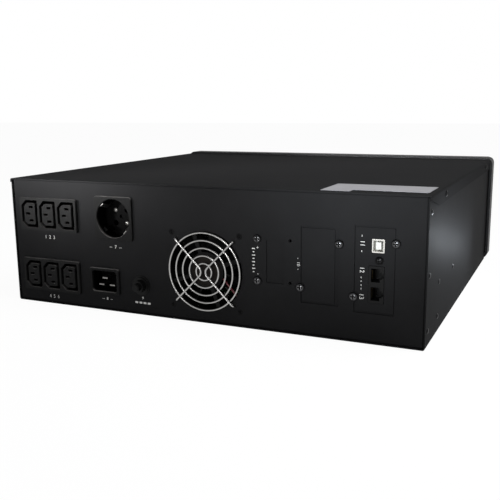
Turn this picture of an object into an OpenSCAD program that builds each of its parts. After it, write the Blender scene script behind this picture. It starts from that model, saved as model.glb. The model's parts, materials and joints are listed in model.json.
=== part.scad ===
// Uninterruptible power supply in a steel case of rack height, with its sockets on the rear panel.
// Millimetres. +X is right seen from the front, -Y is the front, +Y is the rear, +Z is up.
// The origin is on the surface it stands on, under the middle of its outline.
// Places on the rear panel are given as seen from behind: u to the right, v up from the surface.

/* [Chassis] */
// Width over the lips of the top cover
chassis_w = 438; // [434:1:450]
// Height of the top cover above the surface
chassis_h = 131; // [128:1:145]
// Depth of the steel chassis without the bezel
chassis_d = 389; // [385:1:430]
// Thickness of the sheet steel
sheet_t = 1.2; // [1:0.1:1.4]
// Outer radius of the folds
bend_r = 2; // [1.7:0.1:2.4]
// Height of the side lips of the cover
lip_h = 12; // [11:0.5:16]
// Length of the slanted cut at the rear end of each lip
lip_cut_l = 36; // [20:1:44]
// How far the rear panel sits inside the rear edges
panel_inset = 0.8; // [0.5:0.1:2]
// Depth of the folded flanges of the front and rear panels
flange_d = 15; // [14:0.5:18]
// Clearance between steel pieces that fit into each other
sheet_gap = 0.2; // [0.1:0.05:0.3]

/* [Side fasteners] */
// Depth of the rear panel's rivets from the rear edge
rivet_depth = 9.5; // [7:0.5:11]
// Heights of the rear panel's rivets
rivet_heights = [15, 63, 116.5]; // [10:0.5:118]
// Diameter of a rivet head
rivet_head_d = 5; // [4:0.1:6]
// Diameter of a rivet shank
rivet_d = 3; // [2.4:0.1:3.2]
// Depths of the cover screws from the rear edge
cover_screw_depths = [65, 346]; // [50:1:350]
// Height of the cover screws below the top
cover_screw_drop = 5.5; // [5:0.5:7]

/* [Bezel] */
// Depth of the front bezel
bezel_d = 26; // [25:0.5:34]
// How far the bezel stands past the cover's sides
bezel_overhang = 2.5; // [1.5:0.1:3]
// How far the bezel stands above the cover
bezel_rise = 2.5; // [1:0.1:4]
// Height of the bezel's lower edge
bezel_lift = 1.5; // [0.5:0.1:3]
// Wall of the bezel
bezel_wall = 3; // [2.6:0.1:3.4]
// Radius of the bezel's corners seen from the front
bezel_corner_r = 9; // [7:0.5:14]
// Radius of the bezel's front edges
bezel_edge_r = 6; // [4:0.5:8]
// Height of one air slot
slot_h = 3.6; // [2.5:0.1:4.5]
// Distance between air slots
slot_pitch = 9; // [8:0.5:12]

/* [Front controls] */
// Width of the display window
window_w = 84; // [70:1:96]
// Height of the display window
window_h = 42; // [36:1:46]
// Place of the display to the right of the middle
display_x = 120; // [105:1:130]
// Height of the display's middle
display_z = 84; // [82:1:88]
// Height of the row of buttons
button_z = 46; // [44:1:48]
// Distance between buttons
button_pitch = 26; // [22:0.5:30]
// Diameter of a button
button_d = 11; // [9:0.5:13]
// Press of a button
button_travel = 1.2; // [0.8:0.1:1.5]
// Clearance around a button
button_gap = 0.35; // [0.3:0.05:0.5]

/* [Appliance outlets] */
// Middle of the outlet strips
strip_u = -170.4; // [-172:0.1:-168]
// Height of the upper strip
strip_upper_v = 94.9; // [92:0.1:98]
// Height of the lower strip
strip_lower_v = 30.9; // [28:0.1:34]
// Width of a strip's face
strip_w = 71.6; // [71:0.1:74]
// Height of a strip's face
strip_h = 34; // [33:0.5:35]
// How far a strip stands proud
strip_proud = 3.5; // [2:0.1:5]
// Distance between outlets
outlet_pitch = 23.1; // [22.5:0.1:23.5]
// Width of the outline of an outlet
outlet_w = 20.6; // [20:0.1:21]
// Height of the outline of an outlet
outlet_h = 28.6; // [28:0.1:29]
// Width of the groove around an outlet's core
outlet_groove = 3.2; // [2.6:0.1:3.4]
// Depth of the groove
outlet_depth = 15; // [12:0.5:17]

/* [Wall socket] */
// Middle of the wall socket
socket_u = -90.1; // [-92:0.1:-88]
// Height of the wall socket
socket_v = 95.4; // [93:0.1:98]
// Width of its frame
socket_w = 43.8; // [42.5:0.1:45]
// Height of its frame
socket_h = 43.6; // [43:0.1:45]
// How far its frame stands proud
socket_proud = 3; // [2:0.1:4]
// Diameter of its well
socket_well_d = 38.5; // [37:0.1:39]
// Depth of its well from the frame's face
socket_depth = 15.5; // [15:0.5:19]
// Turn of its insert
socket_turn = 45; // [0:5:90]

/* [Mains inlet] */
// Middle of the inlet
inlet_u = -103.6; // [-105:0.1:-101]
// Height of the inlet
inlet_v = 30.7; // [30:0.1:33]
// Width of its frame
inlet_w = 34.8; // [34.6:0.1:36]
// Height of its frame
inlet_h = 26.8; // [26.6:0.1:28]
// How far its frame stands proud
inlet_proud = 3.5; // [2:0.1:5]
// Width of its well
inlet_well_w = 29.4; // [28.4:0.1:29.6]
// Height of its well
inlet_well_h = 21.4; // [21:0.1:21.6]
// Depth of its well from the frame's face
inlet_depth = 17; // [15:0.5:19]

/* [Breaker] */
// Middle of the breaker
breaker_u = -61.3; // [-63:0.1:-59]
// Height of the breaker
breaker_v = 29.8; // [29:0.1:32]
// Diameter of its round nut
breaker_nut_d = 20; // [18:0.5:22]
// Diameter of its neck
breaker_neck_d = 12; // [11:0.1:13]
// Diameter of its button
breaker_button_d = 7.6; // [7:0.1:8.4]
// How far the button reaches past the panel
breaker_reach = 12; // [10:0.5:13]
// How far the button pops out when it trips
breaker_travel = 4; // [2:0.5:5]
// Running clearance around the button
breaker_gap = 0.1; // [0.06:0.02:0.1]

/* [Fan] */
// Middle of the fan
fan_u = 10.6; // [9:0.1:13]
// Height of the fan
fan_v = 50.5; // [49:0.1:54]
// Side of the fan's frame
fan_side = 80; // [80:0.5:84]
// Depth of the fan's frame
fan_d = 25; // [22:0.5:28]
// Distance between the fan's screws
fan_pitch = 71.5; // [70.5:0.1:72]
// Diameter of the air opening
fan_bore_d = 76.4; // [75.6:0.1:77]
// Diameter of the hub
fan_hub_d = 36; // [32:0.5:38]
// Number of blades
fan_blades = 7; // [5:1:9]
// Diameter of the fan's shaft
fan_shaft_d = 3; // [2.5:0.1:4]
// Radial clearance of the shaft in its bearing
fan_shaft_gap = 0.05; // [0.02:0.01:0.08]
// Diameter of the guard's outer ring at the middle of its wire
guard_d = 74.6; // [73:0.5:75]
// Distance between the guard's rings
guard_pitch = 7.3; // [7:0.1:7.6]
// Diameter of the guard's wire
guard_wire_d = 1.7; // [1.4:0.1:2]
// How far the middle of the rings stands off the panel
guard_off = 3; // [2:0.1:4]

/* [Rear plates] */
// Middle of the battery port
port_u = 81.8; // [80.5:0.1:82]
// Height of the battery port
port_v = 66.2; // [64:0.1:69]
// Width of the battery port's opening
port_w = 17.6; // [14:0.1:18]
// Height of the battery port's opening
port_h = 39.3; // [36:0.1:40]
// Middle of the option card slot
slot_u = 123.9; // [123.2:0.1:124.4]
// Height of the option card slot
slot_v = 65.2; // [63:0.1:68]
// Width of the option card slot
option_w = 35; // [34:0.5:36]
// Height of the option card slot
option_h = 69.8; // [66:0.2:72]
// Middle of the interface card
card_u = 173; // [172.4:0.1:174]
// Height of the interface card
card_v = 65.4; // [63.5:0.1:68]
// Width of the interface card's opening
card_w = 35.6; // [34:0.1:36]
// Height of the interface card's opening
card_h = 77; // [74:0.2:78]
// Gap at the ends of a plate in its opening
plate_end_gap = 1.8; // [1:0.1:2.2]
// Diameter of the head of a plate screw
plate_screw_head_d = 8; // [7:0.1:8.4]
// Diameter of a plate screw
plate_screw_d = 4; // [3.5:0.1:4.2]

/* [Label] */
// Width of the blank label on the cover
label_w = 92; // [86:1:96]
// Length of the blank label
label_l = 53; // [48:1:60]
// Middle of the label, seen from behind
label_u = 167; // [162:0.5:169]
// Distance of the label from the rear edge
label_depth = 8; // [6:0.5:14]

/* [Inside] */
// Width of a battery
battery_w = 65; // [62:0.5:66]
// Length of a battery
battery_l = 151; // [145:1:152]
// Height of a battery's case
battery_h = 94; // [90:1:98]
// Gap between batteries
battery_gap = 1; // [0.5:0.1:1.4]
// Width of the transformer's core
core_w = 105; // [90:1:108]
// Thickness of the core's stack
core_stack = 108; // [80:1:110]
// Gap between the transformer and the side wall
transformer_gap = 4; // [3:0.5:6]
// Width of the main board
board_w = 210; // [200:1:214]
// Length of the main board
board_l = 130; // [128:1:134]
// Height of the main board above the floor
board_lift = 8; // [6:0.5:12]
// Height of the heat sinks
sink_h = 65; // [50:1:75]

/* [Hidden] */
$fn = 48;

// Colours as the photograph shows them
steel_black = [0.13, 0.13, 0.14];
plastic_black = [0.1, 0.1, 0.11];
screw_black = [0.2, 0.2, 0.21];
bright_metal = [0.72, 0.72, 0.7];
brass = [0.75, 0.6, 0.3];
board_green = [0.1, 0.35, 0.2];

// Frame of the whole object
button_proud = 1;
rear_y = (chassis_d + bezel_d + button_proud - breaker_reach + panel_inset)/2;
front_y = rear_y - chassis_d;
bezel_face_y = front_y - bezel_d;
panel_y = rear_y - panel_inset;
tray_w = chassis_w - 2*(sheet_t + sheet_gap);
inner_w = tray_w - 2*sheet_t;
cover_under = chassis_h - sheet_t;
wall_top = chassis_h - bend_r;
floor_top = sheet_t;
panel_w = inner_w - 2*sheet_gap;
panel_h = cover_under - floor_top;
cut_over = 1;

// Places across the rear panel, the front and the cover are given for this width and spread with the case
pattern_w = 438;
spread = chassis_w/pattern_w;
strip_at = spread*strip_u;
socket_at = spread*socket_u;
inlet_at = spread*inlet_u;
breaker_at = spread*breaker_u;
fan_at = spread*fan_u;
port_at = spread*port_u;
slot_at = spread*slot_u;
card_at = spread*card_u;
label_at = spread*label_u;
display_at = spread*display_x;

// Fastener details
shank_gap = 0.1;
cover_screw_head_d = 5.4;
cover_screw_head_h = 1.5;
cover_screw_d = 3;
cover_screw_l = 7;
rivet_head_h = 1;
rivet_tail = 0.8;
plate_screw_head_h = 2.6;
plate_screw_l = 5;
fan_screw_d = 3.6;
fan_screw_head_d = 6;
fan_screw_l = 12;

// Bezel details
bezel_w = chassis_w + 2*bezel_overhang;
bezel_h = chassis_h + bezel_rise - bezel_lift;
boss_d = 10;
peg_d = 5.6;
peg_gap = 0.2;
peg_reach = 3;
peg_side = 19;
peg_x = chassis_w/2 - peg_side;
peg_drop = 24;
slot_left_x = -150;
slot_right_x = -30;
slot_full_l = 104;
slot_columns = [spread*slot_left_x, spread*slot_right_x];
slot_l = spread*slot_full_l;
slot_rows = 9;
slot_mid_z = 66;

// Display details, measured inward from the bezel's face
window_rebate = 2;
window_inset = 0.4;
window_gap = 0.2;
screen_lip = 3;
screen_t = 5;
screen_gap = 0.4;
display_board_t = 1.6;
display_board_w = 116;
display_board_h = 82;
display_board_drop = 12;
display_board_z = display_z - display_board_drop;
board_face_in = bezel_wall + screen_gap + screen_t;
display_boss_d = 7;
display_peg_d = 2.8;
display_peg_x = 52;
display_peg_z = 36;
button_rim = 1.4;
button_rim_t = 1.2;
button_stem_d = 3.4;
switch_side = 6;
switch_h = 2;
light_d = 3;
light_pitch = 10;
light_proud = 0.3;
light_z = display_z - window_h/2 - 7;

// Outlet details
strip_margin = 1.2;
strip_body_depth = 22;
strip_corner_r = 1.5;
outlet_cut = 5.6;
outlet_round = 1.6;
pin_slot_w = 5.2;
pin_slot_h = 2.6;
pin_row = 7;
pin_side_u = 1.9;
earth_side_u = -2.1;
contact_leaf = 0.4;
contact_gap = 0.1;
contact_inset = 6;
contact_tail = 6;

// Wall socket details
socket_wall = 1;
socket_corner_r = 3;
insert_t = 3.5;
insert_gap = 0.1;
ledge_t = 2;
ledge_w = 2;
socket_pin_d = 5.4;
socket_pin_pitch = 19;
clip_w = 4.6;
clip_t = 0.8;
clip_belly = 4;
clip_top_drop = 1.2;
clip_foot = 2.4;
clip_tail = 4;
clip_slot_gap = 0.25;
clip_root = socket_well_d/2 - clip_foot - clip_t;
socket_floor = socket_proud - socket_depth;
socket_cup_d = socket_well_d + 2*socket_wall;
key_w = 5;
key_in = 3;
socket_screw_d = 3;
socket_screw_head_d = 4.8;
socket_screw_head_h = 1.4;
socket_screw_r = 9.2;
socket_dimple_d = 4;
socket_dimple = 1.6;

// Inlet details
inlet_wall = 1.5;
inlet_floor = 3;
blade_w = 6.4;
blade_t = 2;
blade_pitch = 13;
blade_row = -4.5;
earth_rise = 7.8;
blade_short = 4.4;
earth_short = 1.6;
blade_tail = 9;
blade_gap = 0.05;
inlet_bottom = inlet_proud - inlet_depth;

// Breaker details
breaker_body_w = 16;
breaker_body_h = 30;
breaker_body_d = 36;
breaker_nut_t = 3;
breaker_nut_gap = 0.1;
breaker_neck_l = 7.5;
breaker_hole_gap = 0.2;
breaker_shaft_in = 8;
breaker_bore_in = 10;

// Fan details
fan_corner_r = 4;
fan_hole_d = 4.4;
fan_strut_w = 4;
fan_strut_t = 3;
fan_base_t = 5;
fan_base_gap = 0.5;
fan_tip_gap = 0.9;
fan_hub_end = 1.5;
fan_shaft_end = 0.4;
blade_pitch_turn = 42;
blade_chord = 19;
fan_blade_t = 1.6;
fan_face = -sheet_t;
guard_rings = 5;
guard_weld = 0.2;
guard_bend_r = 6;
guard_elbow_r = 2.5;
guard_foot = 30.5;
guard_hole_gap = 0.15;
fan_opening_d = 77;
lead_d = 2;
lead_gap = 0.3;
lead_z = fan_face - 1.6;
lead_start_turn = -20;
lead_start_r = fan_hub_d/2 + 0.5;
lead_turn = -47.6;
lead_clear = 12;

// Rear plate details
port_screw_u = -17.3;
port_hole_u = 14.4;
port_screw_v = 19.4;
port_hole_d = 3.2;
plate_margin = 4.4;
port_hole_margin = 2.2;
plate_side_gap = 0.8;
option_side_gap = 3.8;
port_drop = 1.1;
plate_inset = 0.3;
plate_corner_r = 0.8;
option_screw_out = 0.3;
option_screw_v = 20.8;
card_screw_out = 0.1;
card_screw_v = 24.3;

// Interface card details, measured from the middle of its opening
card_board_u = 8.3;
card_board_t = 1.6;
card_board_l = 90;
card_board_top = 30;
usb_w = 10.8;
usb_h = 11.8;
usb_v = 21.4;
usb_wall = 1.2;
usb_l = 16;
usb_proud = 0.5;
tongue_w = 4.4;
tongue_h = 6.2;
tongue_base = 7;
jack_w = 13.4;
jack_h = 32.4;
jack_v = -12.4;
jack_l = 18;
jack_proud = 0.2;
jack_pitch = 16.2;
jack_slot_w = 7.6;
jack_slot_h = 11.8;
jack_slot_u = -0.7;
jack_depth = 14;
jack_latch_w = 1.8;
jack_latch_h = 6;
jack_key_w = 1.3;
jack_key_h = 3.6;
usb_u = card_board_u - usb_w/2;
jack_u = card_board_u - jack_w/2;
card_part_gap = 0.2;
card_mid_screw_u = 4;
card_mid_screw_v = 9;
card_mid_screw_d = 3;

// Card shelf details
shelf_z = 20;
shelf_near = 36;
shelf_l = 104;
shelf_slot_gap = 20.9;
shelf_in_u = slot_at - shelf_slot_gap;
shelf_leaf_bottom = 10;
shelf_leaf_top = 56;
shelf_rivets = [[54.9, 47.5], [53.6, 16], [128.8, 46]];
rail_w = 1;
rail_h = 5;
rail_l = 50;
rail_gap = 0.2;

// Battery details
bracket_t = 1.5;
battery_back = chassis_d - sheet_t - flange_d - 1;
battery_near_y = rear_y - battery_back + battery_l;
battery_count = 4;
battery_step = battery_w + battery_gap;
battery_x0 = -inner_w/2 + bracket_t + 1 + battery_w/2;
battery_top = floor_top + battery_h;
terminal_x = 22;
terminal_in = 12;
terminal_w = 6.3;
terminal_t = 0.8;
terminal_h = 6.5;
terminal_foot = 5;
strap_w = 40;
strap_foot = 12;
plug_w = 8;
plug_t = 4;
plug_l = 9;
plug_lift = 1;
plug_slot_gap = 0.1;

// Transformer details: a lamination is six units wide and five tall
core_unit = core_w/6;
core_h = 5*core_unit;
transformer_x = inner_w/2 - transformer_gap - core_w/2;
winding_gap = 0.5;
winding_out = 17;
clamp_t = 3;
clamp_h = 16;
clamp_foot = 16;
core_bolt_d = 6;
core_bolt_head_d = 10;
core_bolt_head_h = 4;
core_bolt_gap = 0.2;
clamp_bolt_d = 5;
clamp_bolt_y = core_stack/2 + clamp_t + (clamp_foot - clamp_t)/2;
core_front_gap = 8;
core_mid_y = front_y + flange_d + core_front_gap + core_stack/2 + max(winding_out, clamp_foot);

// Main board details
board_t = 1.6;
board_battery_gap = 10.8;
board_shelf_gap = 8;
board_x = -shelf_in_u + board_shelf_gap + board_w/2;
board_y = battery_near_y + board_battery_gap + board_l/2;
board_near = rear_y - board_y - board_l/2;
board_top = floor_top + board_lift + board_t;
standoff_side = 7;
standoff_peg_d = 2.9;
standoff_peg_gap = 0.15;
standoff_margin = 6;
sink_l = 105;
sink_base = 4;
sink_fin = 20;
sink_fin_t = 1.6;
sink_fins = 7;
sink_half = 32;
transistor_w = 10;
transistor_t = 4.5;
transistor_h = 15;
transistor_lift = 8;
transistors = 5;
transistor_pitch = 18;
leg_w = 0.9;
leg_pitch = 2.5;
capacitor_d = 22;
capacitor_h = 40;
capacitor_x = 62;
capacitor_pitch = 27;
wire_d = 4.5;
wire_land = 8;
lead_land = 5;
lead_side = 18;

function battery_x(i) = battery_x0 + i*battery_step;

// Placement
module on_rear(u, v) {
    translate([-u, panel_y, v])
        rotate([90, 0, 180])
            children();
}

module on_front(x, z) {
    translate([x, bezel_face_y, z])
        rotate([90, 0, 0])
            children();
}

module on_side(side, depth, z) {
    translate([side*tray_w/2, rear_y - depth, z])
        rotate([0, side*90, 0])
            children();
}

module along_y(from_y, length) {
    translate([0, from_y + length, 0])
        rotate([90, 0, 0])
            linear_extrude(length)
                children();
}

// Flat outlines
module rounded_rect(w, h, r) {
    square([w, h - 2*r], center = true);
    square([w - 2*r, h], center = true);
    for (sx = [-1, 1], sy = [-1, 1])
        translate([sx*(w/2 - r), sy*(h/2 - r)])
            circle(r);
}

module round_bottom(w, h, r) {
    translate([-w/2, r])
        square([w, h - r]);
    translate([-w/2 + r, 0])
        square([w - 2*r, h]);
    for (side = [-1, 1])
        translate([side*(w/2 - r), r])
            circle(r);
}

// Outline of an appliance outlet, cut off at the corners on its left
module outlet_outline(w, h, cut) {
    intersection() {
        rounded_rect(w, h, outlet_round);
        polygon([
            [-w/2, -h/2 + cut], [-w/2 + cut, -h/2], [w/2, -h/2],
            [w/2, h/2], [-w/2 + cut, h/2], [-w/2, h/2 - cut]
        ]);
    }
}

// Solids shared by several pieces
module slab(w, h, r, low, high) {
    translate([0, 0, low])
        linear_extrude(high - low)
            rounded_rect(w, h, r);
}

module block(w, h, low, high) {
    translate([-w/2, -h/2, low])
        cube([w, h, high - low]);
}

// Block whose front face has rounded edges and corners
module pan_block(w, h, d, edge_r, corner_r) {
    intersection() {
        linear_extrude(h)
            round_bottom(w, d, edge_r);
        translate([-w/2, 0, h/2])
            rotate([90, 0, 90])
                linear_extrude(w)
                    mirror([1, -1, 0])
                        round_bottom(h, d, edge_r);
        translate([0, d, h/2])
            rotate([90, 0, 0])
                linear_extrude(d)
                    rounded_rect(w, h, corner_r);
    }
}

// Open box folded or moulded from one wall, its closed face at the front
module pan(w, h, d, t, edge_r, corner_r) {
    difference() {
        pan_block(w, h, d, edge_r, corner_r);
        translate([0, t, t])
            pan_block(w - 2*t, h - 2*t, d, edge_r - t, max(corner_r - t, edge_r - t));
    }
}

module dome(d, h, rim) {
    rise = h - rim;
    ball = (d*d/4 + rise*rise)/(2*rise);
    intersection() {
        cylinder(d = d, h = h);
        translate([0, 0, h - ball])
            sphere(ball);
    }
}

module cross_recess(size, width, low, high) {
    block(size, width, low, high);
    block(width, size, low, high);
}

module pan_screw(head_d, head_h, d, l) {
    difference() {
        union() {
            dome(head_d, head_h, head_h*0.4);
            translate([0, 0, -l])
                cylinder(d = d, h = l + head_h*0.3);
        }
        cross_recess(head_d*0.6, head_d*0.15, head_h*0.45, head_h + cut_over);
    }
}

module hole(d, low, high) {
    translate([0, 0, low])
        cylinder(d = d, h = high - low);
}

module rod(from, to, d) {
    path = to - from;
    translate(from)
        rotate([0, acos(path[2]/norm(path)), atan2(path[1], path[0])])
            cylinder(d = d, h = norm(path), $fn = 24);
}

// Round wire through a list of points, with ball joints a little fatter than the wire
module wire(points, d) {
    for (i = [0 : len(points) - 2])
        rod(points[i], points[i + 1], d);
    for (i = [1 : 1 : len(points) - 2])
        translate(points[i])
            sphere(d = 1.07*d, $fn = 24);
}

// Enclosure
module base_tray() {
    color(steel_black)
        difference() {
            along_y(front_y, chassis_d)
                difference() {
                    round_bottom(tray_w, wall_top, bend_r);
                    translate([0, sheet_t])
                        round_bottom(inner_w, wall_top, bend_r - sheet_t);
                }
            side_holes(true);
            transformer_floor_holes();
        }
}

// Holes for what is fixed through the side walls
module side_holes(shelf) {
    for (side = [-1, 1]) {
        for (z = rivet_heights)
            on_side(side, rivet_depth, z)
                hole(rivet_d + 2*shank_gap, -3*sheet_t, cut_over);
        for (depth = cover_screw_depths)
            on_side(side, depth, chassis_h - cover_screw_drop)
                hole(cover_screw_d + 2*shank_gap, -2*sheet_t, 3*sheet_t);
    }
    if (shelf)
        for (place = shelf_rivets)
            on_side(-1, place[0], place[1])
                hole(rivet_d + 2*shank_gap, -2*sheet_t - cut_over, cut_over);
}

module top_cover() {
    lip_nose = lip_h/3;
    color(steel_black)
        difference() {
            along_y(front_y, chassis_d)
                translate([0, chassis_h])
                    mirror([0, 1])
                        difference() {
                            round_bottom(chassis_w, lip_h, bend_r);
                            translate([0, sheet_t])
                                round_bottom(chassis_w - 2*sheet_t, lip_h, bend_r - sheet_t);
                        }
            translate([-chassis_w/2 - cut_over, rear_y, chassis_h])
                rotate([90, 0, 90])
                    linear_extrude(chassis_w + 2*cut_over)
                        polygon([
                            [cut_over, -lip_nose], [0, -lip_nose],
                            [-lip_cut_l, -lip_h], [-lip_cut_l, -lip_h - cut_over],
                            [cut_over, -lip_h - cut_over]
                        ]);
            side_holes(false);
        }
}

module rear_panel() {
    color(steel_black)
        difference() {
            translate([0, panel_y, floor_top])
                rotate([0, 0, 180])
                    pan(panel_w, panel_h, flange_d, sheet_t, bend_r, bend_r);
            rear_openings();
            side_holes(false);
        }
}

module rear_openings() {
    low = -sheet_t - cut_over;
    for (v = [strip_upper_v, strip_lower_v])
        on_rear(strip_at, v)
            slab(strip_w - 2*strip_margin + 2*sheet_gap, strip_h - 2*strip_margin + 2*sheet_gap,
                 strip_corner_r, low, cut_over);
    on_rear(socket_at, socket_v)
        hole(socket_well_d + 2*socket_wall + 2*sheet_gap, low, cut_over);
    on_rear(inlet_at, inlet_v)
        slab(inlet_well_w + 2*inlet_wall + 2*sheet_gap, inlet_well_h + 2*inlet_wall + 2*sheet_gap,
             strip_corner_r, low, cut_over);
    on_rear(breaker_at, breaker_v)
        hole(breaker_neck_d + 2*breaker_hole_gap, low, cut_over);
    on_rear(fan_at, fan_v) {
        hole(fan_opening_d, low, cut_over);
        for (su = [-1, 1], sv = [-1, 1]) {
            translate([su*guard_foot, sv*guard_foot])
                hole(guard_wire_d + 2*guard_hole_gap, low, cut_over);
            translate([su*fan_pitch/2, sv*fan_pitch/2])
                fan_screw_shape(shank_gap, cut_over);
        }
    }
    on_rear(port_at, port_v) {
        translate([0, -port_drop])
            slab(port_w, port_h, plate_corner_r, low, cut_over);
        for (sv = [-1, 1]) {
            translate([port_screw_u, sv*port_screw_v])
                hole(plate_screw_d + 2*shank_gap, low, cut_over);
            translate([port_hole_u, sv*port_screw_v])
                hole(port_hole_d, low, cut_over);
        }
    }
    on_rear(slot_at, slot_v) {
        slab(option_w, option_h, plate_corner_r, low, cut_over);
        edge_screws(option_w, option_screw_out, option_screw_v)
            hole(plate_screw_d + 2*shank_gap, low, cut_over);
    }
    on_rear(card_at, card_v) {
        slab(card_w, card_h, plate_corner_r, low, cut_over);
        edge_screws(card_w, card_screw_out, card_screw_v)
            hole(plate_screw_d + 2*shank_gap, low, cut_over);
    }
}

// A slot's two screws: right of its upper half and left of its lower half
module edge_screws(w, out, v) {
    for (s = [-1, 1])
        translate([s*(w/2 + out), s*v])
            children();
}

module front_panel() {
    color(steel_black)
        difference() {
            translate([0, front_y, floor_top])
                pan(panel_w, panel_h, flange_d, sheet_t, bend_r, bend_r);
            bezel_pegs(peg_d + 2*peg_gap, sheet_t + cut_over);
            for (x = slot_columns)
                for (row = [0 : slot_rows - 1])
                    translate([x, front_y, slot_z(row)])
                        rotate([90, 0, 0])
                            slab(slot_l, slot_h, slot_h/2 - 0.01, -sheet_t - cut_over, cut_over);
        }
}

function slot_z(row) = slot_mid_z + (row - (slot_rows - 1)/2)*slot_pitch;

module bezel_pegs(d, reach) {
    for (side = [-1, 1], z = [peg_drop, chassis_h - peg_drop])
        translate([side*peg_x, front_y - cut_over, z])
            rotate([-90, 0, 0])
                cylinder(d = d, h = reach + cut_over);
}

module front_bezel() {
    color(plastic_black)
        difference() {
            union() {
                translate([0, bezel_face_y, bezel_lift])
                    pan(bezel_w, bezel_h, bezel_d, bezel_wall, bezel_edge_r, bezel_corner_r);
                for (side = [-1, 1], z = [peg_drop, chassis_h - peg_drop])
                    on_front(side*peg_x, z)
                        hole(boss_d, -bezel_d, -bezel_wall + 0.2);
                bezel_pegs(peg_d, sheet_t + peg_reach);
                for (sx = [-1, 1], sz = [-1, 1])
                    on_front(display_at + sx*display_peg_x, display_board_z + sz*display_peg_z) {
                        hole(display_boss_d, -board_face_in, -bezel_wall + 0.2);
                        hole(display_peg_d, -board_face_in - display_board_t - 1.5, -bezel_wall);
                    }
            }
            for (x = slot_columns)
                for (row = [0 : slot_rows - 1])
                    on_front(x, slot_z(row))
                        slab(slot_l, slot_h, slot_h/2 - 0.01, -bezel_wall - cut_over, cut_over);
            on_front(display_at, display_z) {
                slab(window_w, window_h, 2, -window_rebate, cut_over);
                slab(window_w - 2*screen_lip, window_h - 2*screen_lip, 1, -bezel_wall - cut_over, cut_over);
            }
            for (i = [-1 : 1])
                on_front(display_at + i*button_pitch, button_z)
                    hole(button_d + 2*button_gap, -bezel_wall - cut_over, cut_over);
            for (i = [-1 : 1])
                on_front(display_at + i*light_pitch, light_z)
                    hole(light_d + 2*shank_gap, -bezel_wall - cut_over, cut_over);
        }
}

module cover_screws() {
    color(screw_black)
        for (side = [-1, 1], depth = cover_screw_depths)
            on_side(side, depth, chassis_h - cover_screw_drop)
                translate([0, 0, sheet_t + sheet_gap])
                    pan_screw(cover_screw_head_d, cover_screw_head_h, cover_screw_d, cover_screw_l);
}

module rivet(grip) {
    dome(rivet_head_d, rivet_head_h, rivet_head_h*0.2);
    translate([0, 0, -grip - rivet_tail])
        cylinder(d = rivet_d, h = grip + rivet_tail + rivet_head_h*0.4);
}

module panel_rivets() {
    color(screw_black) {
        for (side = [-1, 1], z = rivet_heights)
            on_side(side, rivet_depth, z)
                rivet(2*sheet_t + sheet_gap);
        for (place = shelf_rivets)
            on_side(-1, place[0], place[1])
                rivet(2*sheet_t);
    }
}

// Film with a tab at its rear corner
module blank_label() {
    label_t = 0.2;
    tab_w = 27;
    tab_l = 11;
    corner_r = 1.5;
    color([0.6, 0.59, 0.64])
        translate([-label_at, rear_y - label_depth - label_l/2, chassis_h])
            linear_extrude(label_t) {
                translate([0, -tab_l/2])
                    rounded_rect(label_w, label_l - tab_l, corner_r);
                translate([(label_w - tab_w)/2, 0])
                    rounded_rect(tab_w, label_l, corner_r);
            }
}

// Appliance outlets
module outlet_strip(v) {
    color(plastic_black)
        on_rear(strip_at, v)
            difference() {
                union() {
                    slab(strip_w, strip_h, strip_corner_r, 0, strip_proud);
                    slab(strip_w - 2*strip_margin, strip_h - 2*strip_margin, strip_corner_r,
                         -strip_body_depth, strip_proud/2);
                }
                for (i = [-1 : 1])
                    translate([i*outlet_pitch, 0]) {
                        translate([0, 0, strip_proud - outlet_depth])
                            linear_extrude(outlet_depth + cut_over)
                                difference() {
                                    outlet_outline(outlet_w, outlet_h, outlet_cut);
                                    outlet_outline(outlet_w - 2*outlet_groove, outlet_h - 2*outlet_groove,
                                                   outlet_cut - outlet_groove*0.6);
                                }
                        outlet_pins()
                            block(pin_slot_w, pin_slot_h, -strip_body_depth - cut_over, strip_proud + cut_over);
                    }
            }
}

// Places of the three contacts of an outlet
module outlet_pins() {
    for (place = [[pin_side_u, pin_row], [earth_side_u, 0], [pin_side_u, -pin_row]])
        translate(place)
            children();
}

// Two leaves that grip a pin, joined to a tail behind the strip
module outlet_contact() {
    w = pin_slot_w - 2*contact_gap;
    h = pin_slot_h - 2*contact_gap;
    difference() {
        block(w, h, -strip_body_depth, -contact_inset);
        block(w + cut_over, h - 2*contact_leaf, -strip_body_depth + 2, -contact_inset + cut_over);
    }
    block(w, 2*contact_leaf, -strip_body_depth - contact_tail, -strip_body_depth);
}

module outlet_contacts() {
    color(brass)
        for (v = [strip_upper_v, strip_lower_v], i = [-1 : 1])
            on_rear(strip_at, v)
                translate([i*outlet_pitch, 0])
                    outlet_pins()
                        outlet_contact();
}

// Wall socket
module wall_socket_frame() {
    bottom = socket_floor - insert_t - ledge_t;
    color(plastic_black)
        on_rear(socket_at, socket_v)
            difference() {
                union() {
                    slab(socket_w, socket_h, socket_corner_r, 0, socket_proud);
                    hole(socket_cup_d, bottom, socket_proud/2);
                }
                hole(socket_well_d, bottom + ledge_t, socket_proud + cut_over);
                hole(socket_well_d - 2*ledge_w, bottom - cut_over, bottom + 2*ledge_t);
            }
}

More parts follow.
